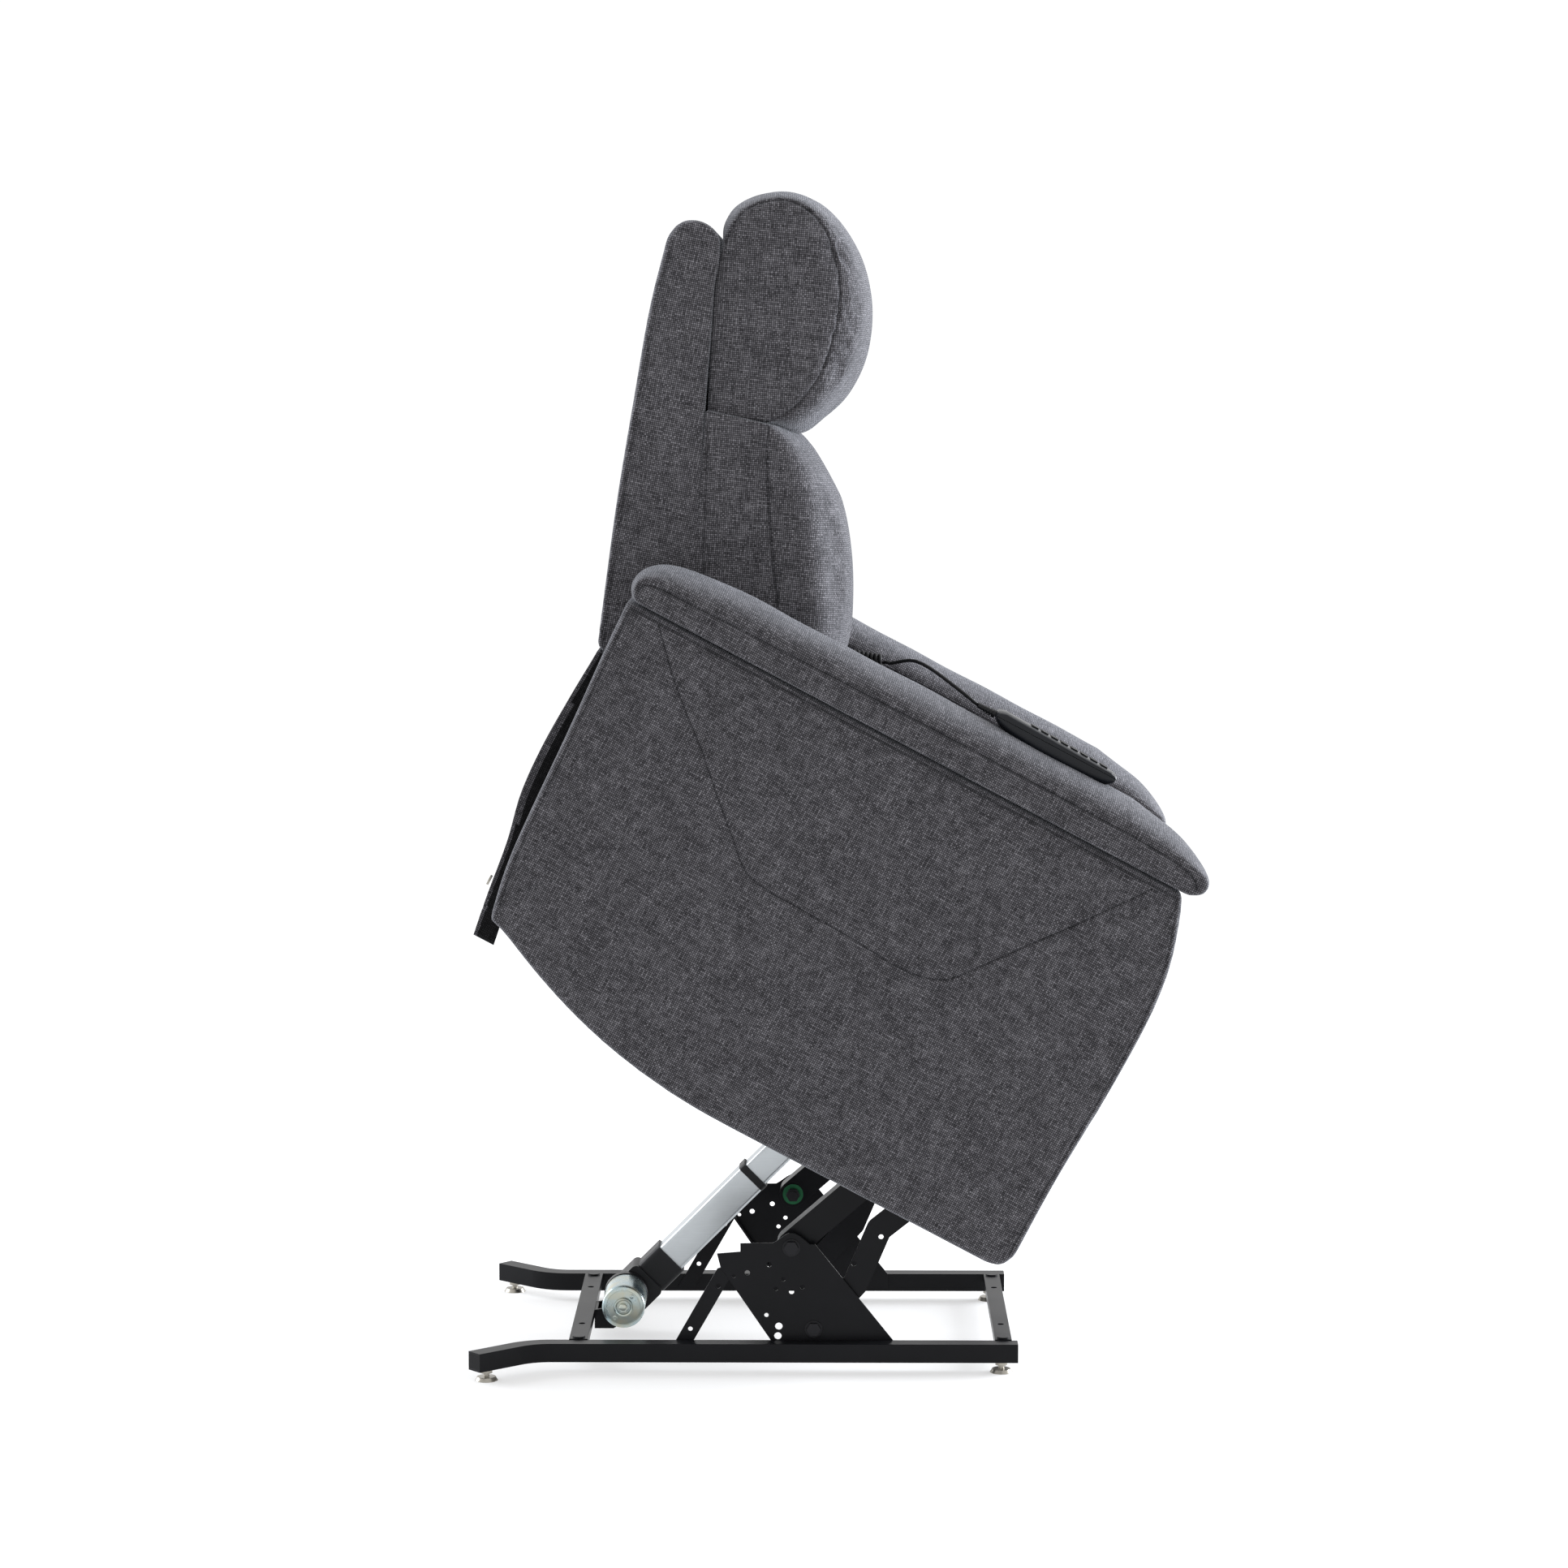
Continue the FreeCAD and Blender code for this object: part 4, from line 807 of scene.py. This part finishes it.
SHELL_REAR = [(-843, 450), (-873, 530), (-913, 640), (-953, 761), (-989, 873), (-1012, 967)]
SHELL_TOP = [(-1012, 967), (-1007, 987), (-996, 999), (-975, 1005), (-954, 998), (-940, 975), (-929, 940)]
SHELL_FRONT = [(-929, 940), (-899, 873), (-857, 777), (-774, 606), (-745, 535), (-735, 450)]


def make_back_shell():
    """The upholstered shell behind the cushion and the pillow."""
    runs = [SHELL_REAR, SHELL_TOP, SHELL_FRONT, [SHELL_FRONT[-1], SHELL_REAR[0]]]
    outline = trace(runs, 36)
    centre = outline.mean(axis=0)
    small = centre + (outline - centre) * np.array([0.93, 0.99])
    half = 260.0
    sections = [(-half, small), (-half + 5, outline), (half - 5, outline), (half, small)]
    shell = lofted("back_shell_cover", sections)
    remesh(shell, 6.0, 4)
    seams = []
    rear = smooth_run(SHELL_REAR, 60)
    for side in (-1, 1):
        seams.append((at_y(offset_line(rear, -8.0), side * half), 1.8, 2.8))
        seams.append((at_y(rear, side * 205.0), 1.8, 3.2))
    sew(shell, seams, (13.0,))
    upholster(shell, shell_fabric, "backrest", 0.9, "back_shell")


def make_back_cushion():
    """The back cushion: side panels level with the shell, and a fuller front sewn to them."""
    rear = [(-864, 792), (-784, 606), (-754, 535), (-743, 464)]
    side_front = [(-641, 464), (-643, 540), (-660, 607), (-685, 645), (-722, 704), (-757, 762),
                  (-784, 815)]
    bulge = [(-560, 464), (-556, 530), (-563, 596), (-587, 654), (-620, 711), (-663, 764), (-708, 803),
             (-742, 816), (-768, 817)]
    side_rear = [(-852, 777), (-769, 606), (-740, 535), (-730, 464)]
    side = trace([rear, [rear[-1], side_front[0]], side_front, [side_front[-1], rear[0]]])
    middle = trace([rear, [rear[-1], bulge[0]], bulge, [bulge[-1], rear[0]]])
    half = 259.0
    cushion = lofted("back_pad", between(side, middle, half, 4.4, 40))
    remesh(cushion, 6.0, 2)
    stuff(cushion, 22.0, lambda p: np.clip((p[:, 0] + 740 + 0.55 * (p[:, 2] - 600)) / 60, 0, 1)
          * np.clip((half + 1 - np.abs(p[:, 1])) / 60, 0, 1) * np.clip((p[:, 2] - 464) / 50, 0, 1)
          * np.clip((820 - p[:, 2]) / 60, 0.2, 1))
    seams = []
    for sign in (-1, 1):
        seams.append((at_y(smooth_run(side_front, 80), sign * half), 2.2, 2.2))
        seams.append((at_y(smooth_run(side_rear, 60), sign * half), 1.0, 1.8))
    sew(cushion, seams)
    upholster(cushion, cushion_fabric, "backrest", 0.7, "back_cushion")
    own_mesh(cushion)


PILLOW_OUTER = [(-950, 999), (-959, 1015), (-957, 1046), (-941, 1074), (-914, 1094), (-876, 1102),
                (-829, 1091), (-782, 1064), (-751, 1032), (-731, 1001), (-716, 962), (-711, 930),
                (-712, 890), (-716, 851), (-727, 826), (-743, 814), (-765, 811), (-785, 811)]
PILLOW_GUSSET = [(-942, 993), (-940, 1039), (-915, 1071), (-880, 1083), (-838, 1072), (-798, 1034),
                 (-772, 988), (-758, 937), (-754, 891), (-765, 844), (-785, 813)]


def make_pillow():
    """The head pillow: a stuffed roll with a gusset sewn in at each side."""
    half = 246.0
    back = [(-859, 788), (-903, 880), (-934, 950), (-950, 999)]
    middle = trace([PILLOW_OUTER, [PILLOW_OUTER[-1], back[0]], back], 60)
    side = trace([PILLOW_GUSSET, [PILLOW_GUSSET[-1], back[0]], back[:-1] + [(-942, 993)]], 60)
    pillow = lofted("head_cushion", between(side, middle, half, 2.6, 32))
    remesh(pillow, 5.0, 2)
    stuff(pillow, 9.0, lambda p: np.clip((p[:, 0] + 895 + 0.46 * (p[:, 2] - 900)) / 50, 0, 1)
          * np.clip((p[:, 2] - 812) / 40 + 0.15, 0, 1))
    seams = []
    for sign in (-1, 1):
        gusset = at_y(smooth_run(PILLOW_GUSSET, 140), sign * (half - 2))
        seams.append((laid_on(pillow, gusset), 1.9, 2.4))
    sew(pillow, seams)
    upholster(pillow, cushion_fabric, "headrest", 0.75, "head_pillow")


def make_legrest():
    """The leg rest's pad, which folds over the top of its board and round the board's sides."""
    front = [(2, 64), (4, 200), (7, 270), (19, 306), (26, 345), (25, 390), (20, 425), (6, 451), (-9, 460)]
    back = [(-9, 460), (-23, 460)]
    fold = [(-23, 460), (-23, 441), (-8.6, 441)]
    foot = (-8.6, 64)
    runs = [[foot, front[0]], front, back, [fold[0], fold[1]], [fold[1], fold[2]], [fold[2], foot]]
    middle = trace(runs)
    side = middle.copy()
    side[:, 0] = np.where(side[:, 0] > 0, 0.7 * side[:, 0], side[:, 0])
    sections = between(side, middle, 257.0, 9.0)
    for y, outline in sections:
        if abs(y) > 250:
            outline[:, 0] = np.where(outline[:, 0] < -8.5, -24.0, outline[:, 0])
    pad = lofted("legrest_cushion", sections)
    remesh(pad, 4.0, 2)
    sew(pad, [([(8, -250, 276), (8, 250, 276)], 2.2, 3.4)], (12.0,))
    upholster(pad, fabric, "legrest", 0.7, "legrest_pad")


HEM_EDGE = 6.0                     # how far forwards the flap's sides keep the outer fabric
FLAP_LINE = [(-841, 448), (-844, 376), (-845, 302), (-841, 233), (-828, 168), (-818, 89), (-811, 40)]


def make_flap():
    """The curtain behind the seat: two layers of cloth, slack between its ends, with its dark sides
    turned forwards."""
    line = smooth_run(FLAP_LINE, 70)
    half, turned, thick = 264.0, 30.0, 4.0
    across = np.concatenate([np.linspace(-half - turned, -half, 7)[:-1], np.linspace(-half, half, 89),
                             np.linspace(half, half + turned, 7)[1:]])
    mesh = bmesh.new()
    layers = []
    for depth in (0.0, thick):
        grid = []
        for i, (u, w) in enumerate(line):
            slack = math.sin(math.pi * i / (len(line) - 1))
            row = []
            for reach in across:
                y = min(max(reach, -half), half)
                forward = max(abs(reach) - half, 0.0)
                wave = 2.0 * slack * math.sin(y / 31.0 + 0.4 * math.sin(w / 40.0))
                y -= math.copysign(depth, y) * min(1.0, forward / thick + 0.5 * (abs(y) == half))
                row.append(mesh.verts.new((u + max(depth, forward) + wave, y, w)))
            grid.append(row)
        layers.append(grid)
    outer, inner = layers
    rows, columns = len(line), len(across)
    for i in range(rows - 1):
        for j in range(columns - 1):
            mesh.faces.new((outer[i][j], outer[i][j + 1], outer[i + 1][j + 1], outer[i + 1][j]))
            mesh.faces.new((inner[i][j], inner[i + 1][j], inner[i + 1][j + 1], inner[i][j + 1]))
        for j in (0, -1):
            mesh.faces.new((outer[i][j], inner[i][j], inner[i + 1][j], outer[i + 1][j]))
    for j in range(columns - 1):
        for i in (0, -1):
            mesh.faces.new((outer[i][j], outer[i][j + 1], inner[i][j + 1], inner[i][j]))
    bmesh.ops.recalc_face_normals(mesh, faces=mesh.faces)
    flap = as_piece("rear_curtain", mesh)
    profile = np.array(FLAP_LINE[::-1], float)
    hem = [(-819, -half, 78), (-819, half, 78)]
    sides = [at_y(line, s * (half - 9)) for s in (-1, 1)]
    sew(flap, [(hem, 0.9, 2.4), (sides[0], 0.8, 2.2), (sides[1], 0.8, 2.2)], (12.0,))
    inside = []
    for face in flap.data.polygons:
        forward = face.center.x - np.interp(face.center.z, profile[:, 1], profile[:, 0])
        inside.append(int(abs(face.center.y) > half - thick - 1.0 and forward > HEM_EDGE))
    finish_piece(flap, fabric)
    flap.data.materials.append(lining)
    flap.data.polygons.foreach_set("material_index", inside)
    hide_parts("rear_flap")
    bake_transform(flap)


# ---- lift motor ---------------------------------------------------------------------------------
def lathe(mesh, centre, profile, sides=72):
    """Rings about a line along Y through the centre, X and Z. The profile gives radius and y."""
    rings = []
    for radius, y in profile:
        turns = [2 * math.pi * i / sides for i in range(sides)]
        rings.append([mesh.verts.new((centre[0] + radius * math.cos(t), y, centre[1] + radius * math.sin(t)))
                      for t in turns])
    faces = []
    for a, b in zip(rings, rings[1:]):
        for i in range(sides):
            faces.append(mesh.faces.new((a[i], a[(i + 1) % sides], b[(i + 1) % sides], b[i])))
    faces.append(mesh.faces.new(rings[0]))
    faces.append(mesh.faces.new(rings[-1][::-1]))
    return faces


def make_motor():
    """A rolled can with a pressed zinc cap, its bearing boss, a hexagonal nub and two screws."""
    low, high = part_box("lift_motor")
    centre = ((low[0] + high[0]) / 2 / MM, (low[2] + high[2]) / 2 / MM)
    mesh = bmesh.new()
    band = [(29.6, -30.2), (30.0, -31.0), (30.0, -44.0), (29.4, -44.8), (28.0, -45.0)]
    can = [(27.8, -44.0), (28.9, -45.4), (29.0, -47.0), (29.0, -112.6), (28.4, -113.4), (28.4, -114.6),
           (29.2, -115.4), (29.2, -118.2), (28.6, -119.6), (27.0, -120.6), (24.0, -121.0), (23.4, -121.0),
           (22.9, -120.5), (13.6, -120.5), (12.8, -121.2), (12.2, -123.0), (11.2, -123.6), (10.0, -123.2),
           (9.2, -121.8), (6.4, -121.8)]
    screw = [(3.1, -119.8), (3.1, -121.0), (2.6, -121.5), (1.4, -121.7), (1.2, -121.3)]
    screw_circle = 18.4
    nub = [(6.3, -121.0), (6.3, -126.4), (5.4, -127.3), (3.4, -127.8)]
    black = lathe(mesh, centre, band)
    lathe(mesh, centre, can)
    lathe(mesh, centre, nub, 6)
    for turn in (math.radians(52), math.radians(232)):
        spot = (centre[0] + screw_circle * math.cos(turn), centre[1] + screw_circle * math.sin(turn))
        lathe(mesh, spot, screw, 20)
    for face in black:
        face.material_index = 1
    bmesh.ops.recalc_face_normals(mesh, faces=mesh.faces)
    motor = as_piece("lift_motor_can", mesh)
    motor.data.transform(Matrix.Scale(MM, 4))
    material_of = [face.material_index for face in motor.data.polygons]
    smooth_with(motor, zinc_cap)
    motor.data.materials.append(black_plastic)
    motor.data.polygons.foreach_set("material_index", material_of)
    sharpen(motor)
    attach(motor, "lift_actuator")
    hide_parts("lift_motor")


# ---- handset ------------------------------------------------------------------------------------
HANDSET_Y = -338.0
HANDSET_U = (-349.0, -172.0)
HANDSET_HALF = 23.0
HANDSET_LOW = PAD_TOP + 0.4
HANDSET_SPLIT = HANDSET_LOW + 12.0
HANDSET_ROUND = 7.0                # how far its ends draw in at its sides
BELLY = 8.0                        # how far the handset sinks into the pad


def handset_half(name, outline_at, replaced):
    """One shell of the hand control, rounded across its width."""
    sections = []
    for turn in np.linspace(-math.pi / 2, math.pi / 2, 19):
        t = math.sin(turn)
        outline = outline_at(crown_of(t, 1.0, 3.2), crown_of(t, 1.0, 7.0))
        sections.append((HANDSET_Y + t * HANDSET_HALF, outline))
    shell = lofted(name, sections)
    modifier = shell.modifiers.new("bevel", "BEVEL")
    modifier.width = 0.5
    modifier.segments = 2
    modifier.limit_method = "ANGLE"
    modifier.angle_limit = math.radians(50)
    use_modifiers(shell)
    finish_piece(shell, handset_shell)
    sharpen(shell)
    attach(shell, "chassis")
    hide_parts(replaced)


def make_handset():
    """The hand control, in two shells. crown is their height and plan their length across the width,
    from 1 in the middle to 0 at the sides."""
    u0, u1 = HANDSET_U
    split, low = HANDSET_SPLIT, HANDSET_LOW
    tail_top, nose_top = low + 22.5, low + 18.0

    def under(crown, plan):
        """The belly, which sinks into the soft arm pad."""
        inset = HANDSET_ROUND * (1 - plan)
        a, b = u0 + inset, u1 - inset
        drop = (split - low + BELLY) * (0.25 + 0.75 * crown)
        belly = [(a, split), (a + 6, split - 0.38 * drop), (a + 24, split - 0.72 * drop),
                 (a + 62, split - 0.96 * drop), (a + 100, split - drop), (b - 36, split - 0.93 * drop),
                 (b - 12, split - 0.70 * drop), (b - 2, split - 0.36 * drop), (b, split)]
        return trace([belly, [belly[-1], belly[0]]], 48)

    def over(crown, plan):
        """The upper shell, flat on top, a narrow gap above the lower one."""
        inset = HANDSET_ROUND * (1 - plan)
        a, b = u0 + inset, u1 - inset
        gap = 0.5
        base = split + gap
        rise = 0.35 + 0.65 * crown
        tail, nose = base + (tail_top - base) * rise, base + (nose_top - base) * rise
        return trace([[(a, base), (b, base)], [(b, base), (b - 2, nose - 2), (b - 9, nose)],
                      [(b - 9, nose), (a + 11, tail)], [(a + 11, tail), (a + 2, tail - 3), (a, base)]], 16)

    handset_half("handset_lower_shell", under, "handset_lower_case")
    handset_half("handset_upper_shell", over, "handset_upper_case")


# ---- surroundings -------------------------------------------------------------------------------
FLOOR_GLOW, WORLD_LIGHT = 0.50, 1.05


def make_surroundings():
    """A plain pale floor under an even white sky."""
    bpy.ops.mesh.primitive_plane_add(size=60, location=(0, 0, 0))
    floor = bpy.context.object
    floor.name = "floor"
    net = Net("pale_floor")
    where = net.node("TexCoord")
    tone = net.noise(where.outputs["Object"], 3.0)
    net.link(net.ramp(tone, [(0.3, (0.49, 0.49, 0.49)), (0.7, (0.51, 0.51, 0.51))]),
             net.shader.inputs["Base Color"])
    net.set(Roughness=0.8, Specular_IOR_Level=0.0, Emission_Color=(1.0, 1.0, 1.0, 1.0),
            Emission_Strength=FLOOR_GLOW)
    floor.data.materials.append(net.material)

    world = bpy.data.worlds.new("studio")
    bpy.context.scene.world = world
    world.use_nodes = True
    background = world.node_tree.nodes["Background"]
    background.inputs["Color"].default_value = (1.0, 1.0, 1.0, 1.0)
    background.inputs["Strength"].default_value = WORLD_LIGHT


WHITE, COOL_WHITE = (1.0, 1.0, 1.0), (0.92, 0.95, 1.0)


def soft_light(name, place, target, size, power, colour):
    """A rectangular light that faces the target."""
    data = bpy.data.lights.new(name, "AREA")
    data.shape = "RECTANGLE"
    data.size, data.size_y = size
    data.energy = power
    data.color = colour
    light = bpy.data.objects.new(name, data)
    bpy.context.scene.collection.objects.link(light)
    light.location = place
    light.rotation_euler = (Vector(target) - Vector(place)).to_track_quat("-Z", "Y").to_euler()


def light_studio():
    middle = (0.0, 0.0, 0.7)
    soft_light("right_wall", (3.2, 1.2, 1.3), middle, (2.4, 3.0), 310.0, COOL_WHITE)
    soft_light("left_wall", (-3.2, 1.0, 1.5), middle, (2.0, 3.0), 110.0, COOL_WHITE)
    soft_light("overhead", (0.6, 0.6, 3.6), middle, (2.6, 2.6), 40.0, WHITE)


make_camera()
make_cord()
dress_nodes()
for side, name in ((-1, "right"), (1, "left")):
    make_arm(side, name)
    make_arm_pad(side, name)
make_seat()
make_back_shell()
make_back_cushion()
make_pillow()
make_legrest()
make_flap()
make_motor()
make_handset()
make_surroundings()
light_studio()
bpy.context.scene.view_settings.view_transform = "Standard"
